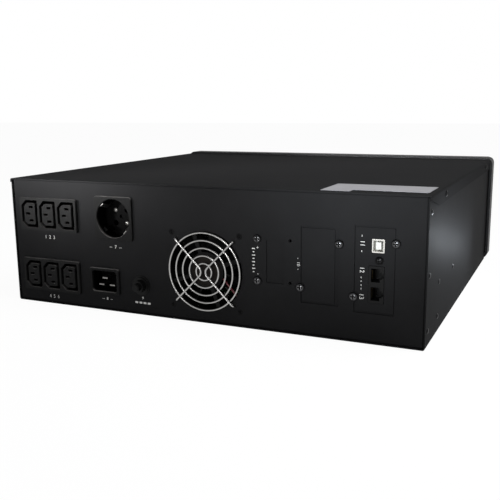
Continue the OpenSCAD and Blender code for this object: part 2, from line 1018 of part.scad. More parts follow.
module wall_socket_insert() {
    low = socket_floor - insert_t;
    r = socket_well_d/2 - insert_gap;
    color(plastic_black)
        on_rear(socket_at, socket_v)
            rotate(socket_turn)
                difference() {
                    union() {
                        hole(2*r, low, socket_floor);
                        for (side = [-1, 1])
                            translate([side*(r - key_in/2 - 0.8), 0])
                                block(key_in, key_w, low + 1, socket_proud - 4);
                    }
                    for (side = [-1, 1]) {
                        translate([side*socket_pin_pitch/2, 0])
                            hole(socket_pin_d, low - cut_over, socket_floor + cut_over);
                        translate([0, side*socket_screw_r])
                            hole(socket_screw_d + 2*shank_gap, low - cut_over, socket_floor + cut_over);
                        translate([0, side*(clip_root + clip_t/2)])
                            block(clip_w + 2*clip_slot_gap, clip_t + 2*clip_slot_gap,
                                  low - cut_over, socket_floor + cut_over);
                    }
                    hole(socket_dimple_d, socket_floor - socket_dimple, socket_floor + cut_over);
                }
}

// Sprung strip that stands in the well and bows towards its middle
module earth_clips() {
    top = socket_proud - clip_top_drop;
    middle = (top + socket_floor)/2;
    rim = socket_well_d/2 - 0.3;
    root = clip_root;
    color(bright_metal)
        on_rear(socket_at, socket_v)
            rotate(socket_turn)
                for (side = [0, 180])
                    rotate(side + 90)
                        rotate([90, 0, 0])
                            translate([0, 0, -clip_w/2])
                                linear_extrude(clip_w)
                                    polygon([
                                        [rim - clip_t, top], [rim, top],
                                        [rim - clip_belly + clip_t, middle], [root + clip_t, socket_floor + 1],
                                        [root + clip_t, socket_floor - insert_t - clip_tail],
                                        [root, socket_floor - insert_t - clip_tail],
                                        [root, socket_floor + 0.6], [rim - clip_belly, middle]
                                    ]);
}

module wall_socket_screws() {
    color(bright_metal)
        on_rear(socket_at, socket_v)
            rotate(socket_turn)
                for (side = [-1, 1])
                    translate([0, side*socket_screw_r, socket_floor])
                        pan_screw(socket_screw_head_d, socket_screw_head_h, socket_screw_d, insert_t + 1.5);
}

// Mains inlet
module inlet_housing() {
    color(plastic_black)
        on_rear(inlet_at, inlet_v)
            difference() {
                union() {
                    slab(inlet_w, inlet_h, 2, 0, inlet_proud);
                    slab(inlet_well_w + 2*inlet_wall, inlet_well_h + 2*inlet_wall, strip_corner_r,
                         inlet_bottom - inlet_floor, inlet_proud/2);
                }
                slab(inlet_well_w, inlet_well_h, 2.5, inlet_bottom, inlet_proud + cut_over);
                inlet_blades()
                    block(blade_w + 2*blade_gap, blade_t + 2*blade_gap,
                          inlet_bottom - inlet_floor - cut_over, inlet_bottom + cut_over);
            }
}

// Places of the three flat pins: earth above, the other two below
module inlet_blades() {
    for (place = [[-blade_pitch/2, blade_row], [0, blade_row + earth_rise], [blade_pitch/2, blade_row]])
        translate(place)
            children();
}

module inlet_pins() {
    tail = inlet_bottom - inlet_floor - blade_tail;
    color(bright_metal)
        on_rear(inlet_at, inlet_v) {
            for (side = [-1, 1])
                translate([side*blade_pitch/2, blade_row])
                    block(blade_w, blade_t, tail, inlet_proud - blade_short);
            translate([0, blade_row + earth_rise])
                block(blade_w, blade_t, tail, inlet_proud - earth_short);
        }
}

// Breaker
module breaker_body() {
    color(plastic_black)
        on_rear(breaker_at, breaker_v)
            difference() {
                union() {
                    slab(breaker_body_w, breaker_body_h, 1, -sheet_t - breaker_body_d, -sheet_t);
                    hole(breaker_neck_d, -sheet_t - 1, breaker_neck_l);
                }
                hole(breaker_button_d + 2*breaker_gap, -breaker_bore_in, breaker_neck_l + cut_over);
            }
}

module breaker_nut() {
    color(screw_black)
        on_rear(breaker_at, breaker_v)
            difference() {
                union() {
                    hole(breaker_nut_d, 0, breaker_nut_t*0.4);
                    hole(breaker_nut_d - 3, 0, breaker_nut_t);
                }
                hole(breaker_neck_d + 2*breaker_nut_gap, -cut_over, breaker_nut_t + cut_over);
            }
}

module breaker_button() {
    color(plastic_black)
        on_rear(breaker_at, breaker_v) {
            hole(breaker_button_d, -breaker_shaft_in, breaker_reach - 1);
            hole(breaker_button_d - 1.2, -breaker_shaft_in, breaker_reach);
        }
}

// Fan
module fan_frame() {
    base = fan_face - fan_base_t;
    color(plastic_black)
        on_rear(fan_at, fan_v)
            difference() {
                union() {
                    difference() {
                        slab(fan_side, fan_side, fan_corner_r, fan_face - fan_d, fan_face);
                        hole(fan_bore_d, fan_face - fan_d - cut_over, fan_face + cut_over);
                    }
                    hole(fan_hub_d, base, fan_face - 0.4);
                    for (turn = [20 : 90 : 290])
                        rotate(turn)
                            translate([fan_bore_d/4 + 2, 0])
                                block(fan_bore_d/2 - 2, fan_strut_w, fan_face - 0.4 - fan_strut_t, fan_face - 0.4);
                }
                for (su = [-1, 1], sv = [-1, 1])
                    translate([su*fan_pitch/2, sv*fan_pitch/2])
                        hole(fan_hole_d, fan_face - fan_d - cut_over, fan_face + cut_over);
                hole(fan_shaft_d + 2*fan_shaft_gap, base - cut_over, fan_face - 1);
                lead_channel();
            }
}

module fan_rotor() {
    top = fan_face - fan_base_t - fan_base_gap;
    bottom = fan_face - fan_d + fan_hub_end;
    tip = fan_bore_d/2 - fan_tip_gap;
    color([0.16, 0.15, 0.15])
        on_rear(fan_at, fan_v) {
            hole(fan_hub_d, bottom, top);
            hole(fan_shaft_d, bottom, fan_face - 1 - fan_shaft_end);
            intersection() {
                difference() {
                    hole(2*tip, bottom, top);
                    hole(fan_hub_d - 2, bottom - cut_over, top + cut_over);
                }
                for (i = [0 : fan_blades - 1])
                    rotate(i*360/fan_blades)
                        translate([tip/2 + fan_hub_d/4, 0, (top + bottom)/2])
                            rotate([blade_pitch_turn, 0, 0])
                                cube([tip, fan_blade_t, blade_chord], center = true);
            }
        }
}

// Wire guard: rings with two bent wires welded over them, their ends in the panel
module fan_guard() {
    cross_z = guard_off + guard_wire_d - guard_weld;
    foot_r = guard_foot*sqrt(2);
    elbow_d = guard_wire_d + 0.06;
    color(bright_metal)
        on_rear(fan_at, fan_v) {
            for (i = [0 : guard_rings - 1])
                translate([0, 0, guard_off])
                    rotate_extrude()
                        translate([guard_d/2 - i*guard_pitch, 0])
                            circle(d = guard_wire_d, $fn = 24);
            for (turn = [0, 180])
                rotate(turn)
                    translate([guard_bend_r*sqrt(2), 0, cross_z])
                        rotate(135)
                            wire_elbow(guard_bend_r, elbow_d);
            for (turn = [45 : 90 : 315])
                rotate(turn) {
                    rod([guard_bend_r - 0.2, 0, cross_z], [foot_r - guard_elbow_r + 0.1, 0, cross_z], guard_wire_d);
                    translate([foot_r - guard_elbow_r, 0, cross_z - guard_elbow_r])
                        rotate([90, 0, 0])
                            wire_elbow(guard_elbow_r, elbow_d);
                    translate([foot_r, 0, -sheet_t + 0.1])
                        cylinder(d = guard_wire_d, h = cross_z - guard_elbow_r + sheet_t, $fn = 24);
                }
        }
}

// Quarter bend of a round wire
module wire_elbow(r, d) {
    rotate_extrude(angle = 90)
        translate([r, 0])
            circle(d = d, $fn = 24);
}

// Countersunk screw, or the room for it
module fan_screw_shape(gap, over) {
    translate([0, 0, -sheet_t])
        cylinder(d1 = fan_screw_d + 2*gap, d2 = fan_screw_head_d + 2*gap, h = sheet_t);
    hole(fan_screw_d + 2*gap, -sheet_t - over, -sheet_t/2);
    if (over > 0)
        hole(fan_screw_head_d + 2*gap, 0, over);
}

module fan_screws() {
    color(screw_black)
        on_rear(fan_at, fan_v)
            for (su = [-1, 1], sv = [-1, 1])
                translate([su*fan_pitch/2, sv*fan_pitch/2])
                    difference() {
                        union() {
                            translate([0, 0, -sheet_t])
                                cylinder(d1 = fan_screw_d, d2 = fan_screw_head_d, h = sheet_t - 0.05);
                            hole(fan_screw_d, -sheet_t - fan_screw_l, -sheet_t/2);
                        }
                        cross_recess(fan_screw_head_d*0.6, 0.9, -sheet_t*0.8, cut_over);
                    }
}

// The lead runs straight from the hub through the frame's edge, then inward to the main board
function lead_point(t) = [
    lead_start_r*cos(lead_start_turn) + t*cos(lead_turn),
    lead_start_r*sin(lead_start_turn) + t*sin(lead_turn),
    lead_z
];
function lead_run() = (fan_side/2 + lead_d - lead_point(0)[0])/cos(lead_turn);

// Slot for the lead in the frame's edge, open to the outer face
module lead_channel() {
    start = lead_point(lead_clear);
    rod(start, lead_point(lead_run() + lead_d), lead_d + 2*lead_gap);
    translate(start)
        rotate(lead_turn)
            translate([0, -lead_d/2 - lead_gap, 0])
                cube([lead_run() - lead_clear + lead_d, lead_d + 2*lead_gap, fan_face - lead_z + cut_over]);
}

module fan_lead() {
    out = lead_point(lead_run());
    board_v = board_top - fan_v + lead_d/2;
    board_edge = panel_inset - board_near;
    color([0.6, 0.08, 0.08])
        on_rear(fan_at, fan_v)
            wire([
                lead_point(0), out, [out[0], out[1], fan_face - fan_d],
                [out[0], board_v, board_edge - 1], [out[0], board_v, board_edge - 6]
            ], lead_d);
}

// Rear plates
module battery_port_plate() {
    left = port_screw_u - plate_margin;
    right = port_hole_u + port_hole_margin;
    color(steel_black)
        on_rear(port_at, port_v)
            difference() {
                translate([(left + right)/2, 0])
                    slab(right - left, port_h + 2*plate_margin, plate_corner_r, -2*sheet_t, -sheet_t);
                for (sv = [-1, 1]) {
                    translate([port_screw_u, sv*port_screw_v])
                        hole(plate_screw_d + 2*shank_gap, -3*sheet_t, 0);
                    translate([port_hole_u, sv*port_screw_v])
                        hole(port_hole_d - 0.6, -3*sheet_t, 0);
                }
            }
}

// Plate behind the panel whose raised middle fills an opening up to a gap on its right
module slot_plate(w, h, right_gap, screw_out, screw_v) {
    difference() {
        union() {
            slab(w + 2*plate_margin, h + 2*plate_margin, plate_corner_r, -2*sheet_t, -sheet_t);
            translate([(plate_side_gap - right_gap)/2, 0])
                slab(w - plate_side_gap - right_gap, h - 2*plate_end_gap, plate_corner_r,
                     -2*sheet_t, -plate_inset);
        }
        edge_screws(w, screw_out, screw_v)
            hole(plate_screw_d + 2*shank_gap, -3*sheet_t, cut_over);
    }
}

module option_slot_cover() {
    color(steel_black)
        on_rear(slot_at, slot_v)
            slot_plate(option_w, option_h, option_side_gap, option_screw_out, option_screw_v);
}

module interface_bracket() {
    color(steel_black)
        on_rear(card_at, card_v)
            difference() {
                slot_plate(card_w, card_h, plate_side_gap, card_screw_out, card_screw_v);
                translate([usb_u, usb_v])
                    slab(usb_w + 2*card_part_gap, usb_h + 2*card_part_gap, 0.6, -3*sheet_t, cut_over);
                translate([jack_u, jack_v])
                    slab(jack_w + 2*card_part_gap, jack_h + 2*card_part_gap, 0.6, -3*sheet_t, cut_over);
                translate([card_mid_screw_u, card_mid_screw_v])
                    hole(card_mid_screw_d + 2*shank_gap, -3*sheet_t, cut_over);
            }
}

module plate_screws() {
    color(screw_black) {
        on_rear(port_at, port_v)
            for (sv = [-1, 1])
                translate([port_screw_u, sv*port_screw_v])
                    pan_screw(plate_screw_head_d, plate_screw_head_h, plate_screw_d, plate_screw_l);
        on_rear(slot_at, slot_v)
            edge_screws(option_w, option_screw_out, option_screw_v)
                pan_screw(plate_screw_head_d, plate_screw_head_h, plate_screw_d, plate_screw_l);
        on_rear(card_at, card_v) {
            edge_screws(card_w, card_screw_out, card_screw_v)
                pan_screw(plate_screw_head_d, plate_screw_head_h, plate_screw_d, plate_screw_l);
            translate([card_mid_screw_u, card_mid_screw_v, -plate_inset])
                pan_screw(plate_screw_head_d*0.88, plate_screw_head_h*0.8, card_mid_screw_d, plate_screw_l);
        }
    }
}

// Interface card
module interface_board() {
    bottom = shelf_z + sheet_t - card_v;
    color(board_green)
        on_rear(card_at, card_v)
            translate([card_board_u, bottom, -2*sheet_t - card_part_gap - card_board_l])
                cube([card_board_t, card_board_top - bottom, card_board_l]);
}

module usb_shell() {
    color(bright_metal)
        on_rear(card_at, card_v)
            translate([usb_u, usb_v])
                difference() {
                    slab(usb_w, usb_h, 0.6, -usb_l, usb_proud);
                    slab(usb_w - 2*usb_wall, usb_h - 2*usb_wall, 0.4, -usb_l - cut_over, usb_proud + cut_over);
                }
}

module usb_tongue() {
    color([0.9, 0.9, 0.88])
        on_rear(card_at, card_v)
            translate([usb_u, usb_v]) {
                block(tongue_w, tongue_h, -usb_l + 1, usb_proud - 1);
                block(usb_w - 2*usb_wall - 0.1, usb_h - 2*usb_wall - 0.1, -usb_l, -usb_l + tongue_base);
            }
}

module phone_jack_block() {
    color(plastic_black)
        on_rear(card_at, card_v)
            translate([jack_u, jack_v])
                difference() {
                    slab(jack_w, jack_h, 0.6, -jack_l, jack_proud);
                    for (sv = [-1, 1])
                        translate([jack_slot_u, sv*jack_pitch/2])
                            jack_port();
                }
}

module jack_port() {
    low = jack_proud - jack_depth;
    block(jack_slot_w, jack_slot_h, low, jack_proud + cut_over);
    translate([jack_slot_w/2 + jack_latch_w/2 - 0.1, 0])
        block(jack_latch_w + 0.2, jack_latch_h, low, jack_proud + cut_over);
    translate([jack_slot_w/2 + jack_latch_w + jack_key_w/2 - 0.1, 0])
        block(jack_key_w + 0.2, jack_key_h, low + 5, jack_proud + cut_over);
}

// Sheet riveted to the side wall, with a leg on the floor and a rail for each card
module card_shelf() {
    wall_u = inner_w/2;
    near_y = rear_y - shelf_near;
    color([0.55, 0.56, 0.57])
        difference() {
            union() {
                translate([-wall_u, near_y - shelf_l, shelf_z])
                    cube([wall_u - shelf_in_u, shelf_l, sheet_t]);
                translate([-wall_u, near_y - shelf_l, shelf_leaf_bottom])
                    cube([sheet_t, shelf_l, shelf_leaf_top - shelf_leaf_bottom]);
                translate([-shelf_in_u - sheet_t, near_y - shelf_l, floor_top])
                    cube([sheet_t, shelf_l, shelf_z - floor_top + sheet_t]);
                for (card = [card_at + card_board_u, slot_at])
                    for (offset = [-rail_w - rail_gap, card_board_t + rail_gap])
                        translate([-card - offset - rail_w, near_y - rail_l, shelf_z])
                            cube([rail_w, rail_l, sheet_t + rail_h]);
            }
            side_holes(true);
        }
}

// Front controls
module display_window() {
    color([0.2, 0.22, 0.25])
        on_front(display_at, display_z)
            slab(window_w - 2*window_gap, window_h - 2*window_gap, 2 - window_gap, -window_rebate, -window_inset);
}

module display_screen() {
    color([0.25, 0.35, 0.3])
        on_front(display_at, display_z)
            slab(window_w - 2, window_h - 2, 1, -board_face_in, -bezel_wall - screen_gap);
}

module display_board() {
    color(board_green)
        on_front(display_at, display_board_z)
            difference() {
                slab(display_board_w, display_board_h, 1, -board_face_in - display_board_t, -board_face_in);
                for (sx = [-1, 1], sz = [-1, 1])
                    translate([sx*display_peg_x, sz*display_peg_z])
                        hole(display_peg_d + 2*peg_gap, -board_face_in - 3, -board_face_in + cut_over);
            }
}

// Cap through the bezel, rim behind it and stem towards its switch
module push_button(i, proud) {
    rim_face = -bezel_wall - button_gap;
    stem_end = -board_face_in + switch_h + button_travel + button_gap;
    on_front(display_at + i*button_pitch, button_z) {
        hole(button_d, rim_face - button_rim_t, proud);
        hole(button_d + 2*button_rim, rim_face - button_rim_t, rim_face);
        hole(button_stem_d, min(stem_end, rim_face - button_rim_t), rim_face);
    }
}

module power_button() {
    color([0.3, 0.3, 0.31])
        push_button(1, button_proud);
}

module scroll_button() {
    color([0.3, 0.3, 0.31])
        push_button(-1, button_proud);
}

module enter_button() {
    color([0.3, 0.3, 0.31])
        push_button(0, button_proud);
}

module button_switches() {
    color([0.2, 0.2, 0.2])
        for (i = [-1 : 1])
            on_front(display_at + i*button_pitch, button_z)
                block(switch_side, switch_side, -board_face_in, -board_face_in + switch_h);
}

module status_lights() {
    color([0.8, 0.85, 0.8])
        for (i = [-1 : 1])
            on_front(display_at + i*light_pitch, light_z)
                hole(light_d, -board_face_in, light_proud);
}

// Batteries
module battery(i) {
    color([0.22, 0.22, 0.24])
        translate([battery_x(i), battery_near_y - battery_l/2, 0])
            slab(battery_w, battery_l, 2, floor_top, battery_top);
}

// Places of the two terminals of every battery
module at_terminals() {
    for (i = [0 : battery_count - 1], side = [-1, 1])
        translate([battery_x(i) + side*terminal_x, battery_near_y - terminal_in, battery_top])
            children();
}

module battery_terminals() {
    color(brass)
        at_terminals() {
            block(terminal_w, terminal_foot, 0, terminal_t);
            block(terminal_w, terminal_t, 0, terminal_h);
        }
}

module battery_bracket() {
    t = bracket_t;
    x0 = battery_x(0) - battery_w/2 - battery_gap/2;
    x1 = battery_x(battery_count - 1) + battery_w/2 + battery_gap/2;
    y0 = battery_near_y - battery_l/2 - strap_w/2;
    color([0.55, 0.56, 0.57]) {
        translate([x0 - t, y0, battery_top])
            cube([x1 - x0 + 2*t, strap_w, t]);
        for (x = [x0 - t, x1])
            translate([x, y0, floor_top])
                cube([t, strap_w, battery_h]);
        translate([x1, y0, floor_top])
            cube([strap_foot, strap_w, t]);
    }
}

// A slip-on plug over a terminal's blade
module terminal_plug() {
    difference() {
        block(plug_w, plug_t, plug_lift, plug_lift + plug_l);
        block(terminal_w + 2*plug_slot_gap, terminal_t + 2*plug_slot_gap, 0, terminal_h + plug_slot_gap);
    }
}

// Links that put the batteries in series, and the two leads to the main board
module battery_wiring() {
    y = battery_near_y - terminal_in;
    z = battery_top + plug_lift + plug_l - plug_t/2;
    lead_y = board_y - board_l/2 + lead_land;
    color([0.55, 0.1, 0.1]) {
        at_terminals()
            terminal_plug();
        for (i = [0 : battery_count - 2])
            rod([battery_x(i) + terminal_x + plug_w/2 - 1, y, z],
                [battery_x(i + 1) - terminal_x - plug_w/2 + 1, y, z], plug_t - 0.5);
        for (end = [[battery_x(0) - terminal_x, -board_w/2 + board_x + lead_side],
                    [battery_x(battery_count - 1) + terminal_x, battery_x(battery_count - 1) + terminal_x]])
            wire([
                [end[0], y, z + 1], [end[0], y, z + 8], [end[1], y + 8, z + 8],
                [end[1], lead_y, z + 8], [end[1], lead_y, board_top]
            ], plug_t - 0.5);
    }
}

// Transformer
module transformer_core() {
    u = core_unit;
    color([0.35, 0.35, 0.37])
        translate([transformer_x, core_mid_y, floor_top])
            rotate([90, 0, 0])
                translate([0, 0, -core_stack/2])
                    difference() {
                        translate([-core_w/2, 0, 0])
                            cube([core_w, core_h, core_stack]);
                        for (side = [-1, 1])
                            translate([side*1.5*u - u/2, u, -cut_over])
                                cube([u, 3*u, core_stack + 2*cut_over]);
                        core_corners()
                            hole(core_bolt_d + 2*core_bolt_gap, -cut_over, core_stack + cut_over);
                    }
}

// Places of the bolts through the stack's corners
module core_corners() {
    for (side = [-1, 1], z = [core_unit/2, core_h - core_unit/2])
        translate([side*(core_w/2 - core_unit/2), z])
            children();
}

module transformer_winding() {
    u = core_unit;
    h = 3*u - 2*winding_gap;
    color([0.55, 0.32, 0.12])
        translate([transformer_x, core_mid_y, floor_top + 2.5*u])
            difference() {
                slab(4*u - 2*winding_gap, core_stack + 2*winding_out, 8, -h/2, h/2);
                block(2*u + 2*winding_gap, core_stack + 2*winding_gap, -h/2 - cut_over, h/2 + cut_over);
            }
}

// Angle on each face of the stack, with its foot on the floor
module transformer_clamps() {
    color([0.55, 0.56, 0.57])
        for (side = [0, 180])
            translate([transformer_x, core_mid_y, floor_top])
                rotate(side)
                    difference() {
                        translate([0, core_stack/2, 0]) {
                            translate([-core_w/2, 0, 0])
                                cube([core_w, clamp_t, clamp_h]);
                            translate([-core_w/2, 0, 0])
                                cube([core_w, clamp_foot, clamp_t]);
                        }
                        for (end = [-1, 1]) {
                            translate([end*(core_w/2 - core_unit/2), core_stack/2 - cut_over, core_unit/2])
                                rotate([-90, 0, 0])
                                    cylinder(d = core_bolt_d + 2*core_bolt_gap, h = clamp_t + 2*cut_over);
                            translate([end*core_w/3, clamp_bolt_y, 0])
                                hole(clamp_bolt_d + 2*core_bolt_gap, -cut_over, clamp_t + cut_over);
                        }
                    }
}

module transformer_floor_holes() {
    for (side = [-1, 1], end = [-1, 1])
        translate([transformer_x + end*core_w/3, core_mid_y + side*clamp_bolt_y, 0])
            hole(clamp_bolt_d + 2*core_bolt_gap, -cut_over, floor_top + cut_over);
}

module transformer_bolts() {
    head_in = core_stack/2;
    color(bright_metal) {
        translate([transformer_x, core_mid_y, floor_top])
            rotate([90, 0, 0])
                for (side = [-1, 1], low = [true, false]) {
                    seat = head_in + (low ? clamp_t : 0);
                    translate([side*(core_w/2 - core_unit/2), low ? core_unit/2 : core_h - core_unit/2]) {
                        hole(core_bolt_d, -seat - core_bolt_head_h, seat + core_bolt_head_h);
                        hole(core_bolt_head_d, seat, seat + core_bolt_head_h);
                        hole(core_bolt_head_d, -seat - core_bolt_head_h, -seat);
                    }
                }
        for (side = [-1, 1], end = [-1, 1])
            translate([transformer_x + end*core_w/3, core_mid_y + side*clamp_bolt_y, 0]) {
                hole(clamp_bolt_d, 0.2, floor_top + clamp_t + 1);
                hole(clamp_bolt_d*1.6, floor_top + clamp_t, floor_top + clamp_t + 3);
            }
    }
}

// Main board
module at_standoffs() {
    for (sx = [-1, 0, 1], sy = [-1, 1])
        translate([board_x + sx*(board_w/2 - standoff_margin), board_y + sy*(board_l/2 - standoff_margin), 0])
            children();
}

module main_board() {
    color(board_green)
        difference() {
            translate([board_x, board_y, 0])
                block(board_w, board_l, board_top - board_t, board_top);
            at_standoffs()
                hole(standoff_peg_d + 2*standoff_peg_gap, board_top - board_t - cut_over, board_top + cut_over);
        }
}

module board_standoffs() {
    color([0.85, 0.85, 0.8])
        at_standoffs() {
            translate([0, 0, floor_top])
                cylinder(d = standoff_side, h = board_lift, $fn = 6);
            hole(standoff_peg_d, floor_top, board_top + 2);
        }
}

// Two finned extrusions back to back, fins outward, along the air flow
module heat_sinks() {
    fin_step = (sink_h - sink_fin_t)/(sink_fins - 1);
    color([0.7, 0.7, 0.72])
        for (side = [-1, 1])
            translate([board_x - sink_fin, board_y - sink_l/2, board_top])
                mirror([side > 0 ? 1 : 0, 0, 0])
                    translate([-sink_half, 0, 0]) {
                        cube([sink_base, sink_l, sink_h]);
                        for (i = [0 : sink_fins - 1])
                            translate([-sink_fin, 0, i*fin_step])
                                cube([sink_fin + 0.1, sink_l, sink_fin_t]);
                    }
}

module power_transistors() {
    color([0.12, 0.12, 0.12])
        for (side = [-1, 1], i = [0 : transistors - 1])
            translate([
                board_x - sink_fin,
                board_y + (i - (transistors - 1)/2)*transistor_pitch,
                board_top
            ])
                mirror([side > 0 ? 1 : 0, 0, 0])
                    translate([-sink_half + sink_base, 0, 0]) {
                        translate([0, -transistor_w/2, transistor_lift])
                            cube([transistor_t, transistor_w, transistor_h]);
                        for (leg = [-1 : 1])
                            translate([transistor_t/2, leg*leg_pitch - leg_w/2, 0])
                                cube([leg_w, leg_w, transistor_lift + 1]);
                    }
}

module board_capacitors() {
    color([0.12, 0.14, 0.3])
        for (row = [0, 1], i = [-1.5 : 1.5])
            translate([board_x + capacitor_x + row*(capacitor_d + 2), board_y + i*capacitor_pitch, board_top])
                cylinder(d = capacitor_d, h = capacitor_h);
}

// Mains wires from the inlet, the breaker and the sockets to the main board
module mains_wires() {
    edge = panel_inset - board_near;
    up = board_top + wire_d/2;
    side = -board_x - board_w/2;
    blade_end = inlet_bottom - inlet_floor - blade_tail;
    breaker_end = -sheet_t - breaker_body_d;
    strip_end = -strip_body_depth - contact_tail;
    left = inlet_at - blade_pitch/2;
    right = inlet_at + blade_pitch/2;
    low = inlet_v + blade_row;
    strip_pin = strip_at + pin_side_u;
    color([0.15, 0.15, 0.16])
        on_rear(0, 0) {
            wire([
                [right, low, blade_end], [right, low, breaker_end - 14],
                [breaker_at, breaker_v + 6, breaker_end - 14], [breaker_at, breaker_v + 6, breaker_end]
            ], wire_d);
            wire([
                [breaker_at, breaker_v - 8, breaker_end], [breaker_at, breaker_v - 8, edge + 8],
                [breaker_at, up, edge + 2], [breaker_at, up, edge - wire_land]
            ], wire_d);
            wire([
                [left, low, blade_end], [left, low, edge + 14],
                [left + 9, up, edge + 2], [left + 9, up, edge - wire_land]
            ], wire_d);
            wire([
                [socket_at, socket_v + 11, socket_floor - insert_t], [socket_at, socket_v + 11, edge + 16],
                [socket_at + 12, up, edge + 2], [socket_at + 12, up, edge - wire_land]
            ], wire_d);
            for (strip = [[strip_lower_v, 21], [strip_upper_v, 41]])
                wire([
                    [strip_pin, strip[0] + pin_row, strip_end],
                    [strip_pin, strip[0] + pin_row, edge - strip[1]],
                    [side - 10, up, edge - strip[1]], [side + 5, up, edge - strip[1]]
                ], wire_d);
        }
}

base_tray();
top_cover();
rear_panel();
front_panel();
front_bezel();
cover_screws();
panel_rivets();
blank_label();
outlet_strip(strip_upper_v);  // upper_outlet_strip
outlet_strip(strip_lower_v);  // lower_outlet_strip
outlet_contacts();
wall_socket_frame();
wall_socket_insert();
earth_clips();
wall_socket_screws();
inlet_housing();
inlet_pins();
breaker_body();
breaker_nut();
breaker_button();
fan_frame();
fan_rotor();
fan_guard();
fan_screws();
fan_lead();
battery_port_plate();
option_slot_cover();
interface_bracket();
interface_board();
plate_screws();
card_shelf();
usb_shell();
usb_tongue();
phone_jack_block();
display_window();
display_screen();
display_board();
power_button();
scroll_button();
enter_button();
button_switches();
status_lights();
battery(0);  // battery_1
battery(1);  // battery_2
battery(2);  // battery_3
battery(3);  // battery_4
battery_terminals();
battery_bracket();
battery_wiring();
transformer_core();
transformer_winding();
transformer_clamps();
transformer_bolts();
main_board();
board_standoffs();
heat_sinks();
power_transistors();
board_capacitors();
mains_wires();
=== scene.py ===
"""Finishes, softened edges, printed marks and stage for a rack-height power supply seen from behind."""

import json
import math

import bpy
from bpy.props import FloatProperty, FloatVectorProperty, IntProperty, PointerProperty
from bpy.types import Operator, Panel, PropertyGroup
from mathutils import Euler, Matrix, Quaternion, Vector


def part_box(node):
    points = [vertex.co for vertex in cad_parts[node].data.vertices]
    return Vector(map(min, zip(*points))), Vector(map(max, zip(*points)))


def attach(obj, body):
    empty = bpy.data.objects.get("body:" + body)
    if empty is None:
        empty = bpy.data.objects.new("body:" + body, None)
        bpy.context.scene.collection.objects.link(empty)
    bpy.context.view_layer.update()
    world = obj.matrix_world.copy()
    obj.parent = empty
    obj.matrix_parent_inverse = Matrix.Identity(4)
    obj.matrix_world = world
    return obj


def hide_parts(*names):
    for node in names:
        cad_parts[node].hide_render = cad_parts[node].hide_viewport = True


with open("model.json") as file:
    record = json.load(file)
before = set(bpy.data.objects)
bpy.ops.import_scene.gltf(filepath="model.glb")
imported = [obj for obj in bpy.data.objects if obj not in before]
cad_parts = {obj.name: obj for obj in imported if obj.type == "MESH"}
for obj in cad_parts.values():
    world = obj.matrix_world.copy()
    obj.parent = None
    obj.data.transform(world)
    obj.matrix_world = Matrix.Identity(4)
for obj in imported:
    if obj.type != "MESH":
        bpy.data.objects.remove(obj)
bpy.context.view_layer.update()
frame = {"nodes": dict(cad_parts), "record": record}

bl_info = {
    "name": "Power supply dresser",
    "version": (1, 0, 0),
    "blender": (4, 5, 0),
    "location": "View3D > Sidebar > Power supply",
    "description": "Gives a rack-height power supply its finishes, edges, marks and stage",
    "category": "Object",
}

NODES = frame["nodes"]
RECORD = frame["record"]
SLOT_OF = {part["node"]: part["material_slot"] for part in RECORD["subparts"]}
BODY_OF = {node: body for body, nodes in RECORD["behaviour"]["bodies"].items() for node in nodes}
MM = 0.001
PANEL_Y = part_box("rear_panel")[1].y
REAR_TURN = (math.pi / 2, 0, math.pi)
FRONT_TURN = (math.pi / 2, 0, 0)
MERGE_DISTANCE = 0.002 * MM
FLAT_ANGLE = math.radians(0.6)
EDGE_ANGLE = math.radians(40)
SMOOTH_ANGLE = math.radians(50)
FONT_PER_NUMERAL = 1.4        # font size for a numeral one unit tall
# Pale tone of dust, also laid on as a painted highlight on the sockets' upward edges.
DUST_AND_HIGHLIGHT_TONE = (0.30, 0.29, 0.28)
# Painted shade: a surface deep in a recess behind the panel's face keeps only this share of its colour.
PAINTED_SHADE_SHARE = 0.08           # share of its colour that a surface keeps deep in a recess


def middle(node):
    """Centre of a CAD node's box."""
    low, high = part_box(node)
    return (low + high) / 2


# Settings

class FinishSettings(PropertyGroup):
    """Colours of the surfaces."""

    steel: FloatVectorProperty(name="Powder coat", description="Colour of the painted sheet steel",
                               subtype="COLOR", default=(0.0145, 0.0145, 0.015))
    moulding: FloatVectorProperty(name="Socket plastic", description="Colour of the socket mouldings",
                                  subtype="COLOR", default=(0.0048, 0.0048, 0.0048))
    face: FloatVectorProperty(name="Socket face", description="Colour of the faces of the sockets",
                              subtype="COLOR", default=(0.0112, 0.0112, 0.0112))
    bezel: FloatVectorProperty(name="Bezel plastic", description="Colour of the front bezel",
                               subtype="COLOR", default=(0.011, 0.011, 0.0115))
    button: FloatVectorProperty(name="Button plastic", description="Colour of the push buttons",
                                subtype="COLOR", default=(0.05, 0.05, 0.053))
    screw: FloatVectorProperty(name="Screws", description="Colour of the blackened screws",
                               subtype="COLOR", default=(0.004, 0.004, 0.0042))
    # Metal crowns of the plate screws; their cross and rim get painted shade from the crown finish.
    crown: FloatVectorProperty(name="Screw crowns", description="Colour of the plate screws' metal crowns",
                               subtype="COLOR", default=(0.12, 0.12, 0.124))
    wire: FloatVectorProperty(name="Guard wire", description="Colour of the plated fan guard",
                              subtype="COLOR", default=(0.39, 0.385, 0.375))
    plate: FloatVectorProperty(name="Contacts", description="Colour of the plated pins and shells",
                               subtype="COLOR", default=(0.50, 0.49, 0.46))
    spring: FloatVectorProperty(name="Springs", description="Colour of the clips, pins and socket screws",
                                subtype="COLOR", default=(0.20, 0.195, 0.185))
    label: FloatVectorProperty(name="Label", description="Colour of the blank label film",
                               subtype="COLOR", default=(0.190, 0.188, 0.208))
    ink: FloatVectorProperty(name="Ink", description="Colour of the printed marks",
                             subtype="COLOR", default=(0.62, 0.62, 0.60))
    lead: FloatVectorProperty(name="Fan lead", description="Colour of the fan's lead",
                              subtype="COLOR", default=(0.10, 0.008, 0.014))


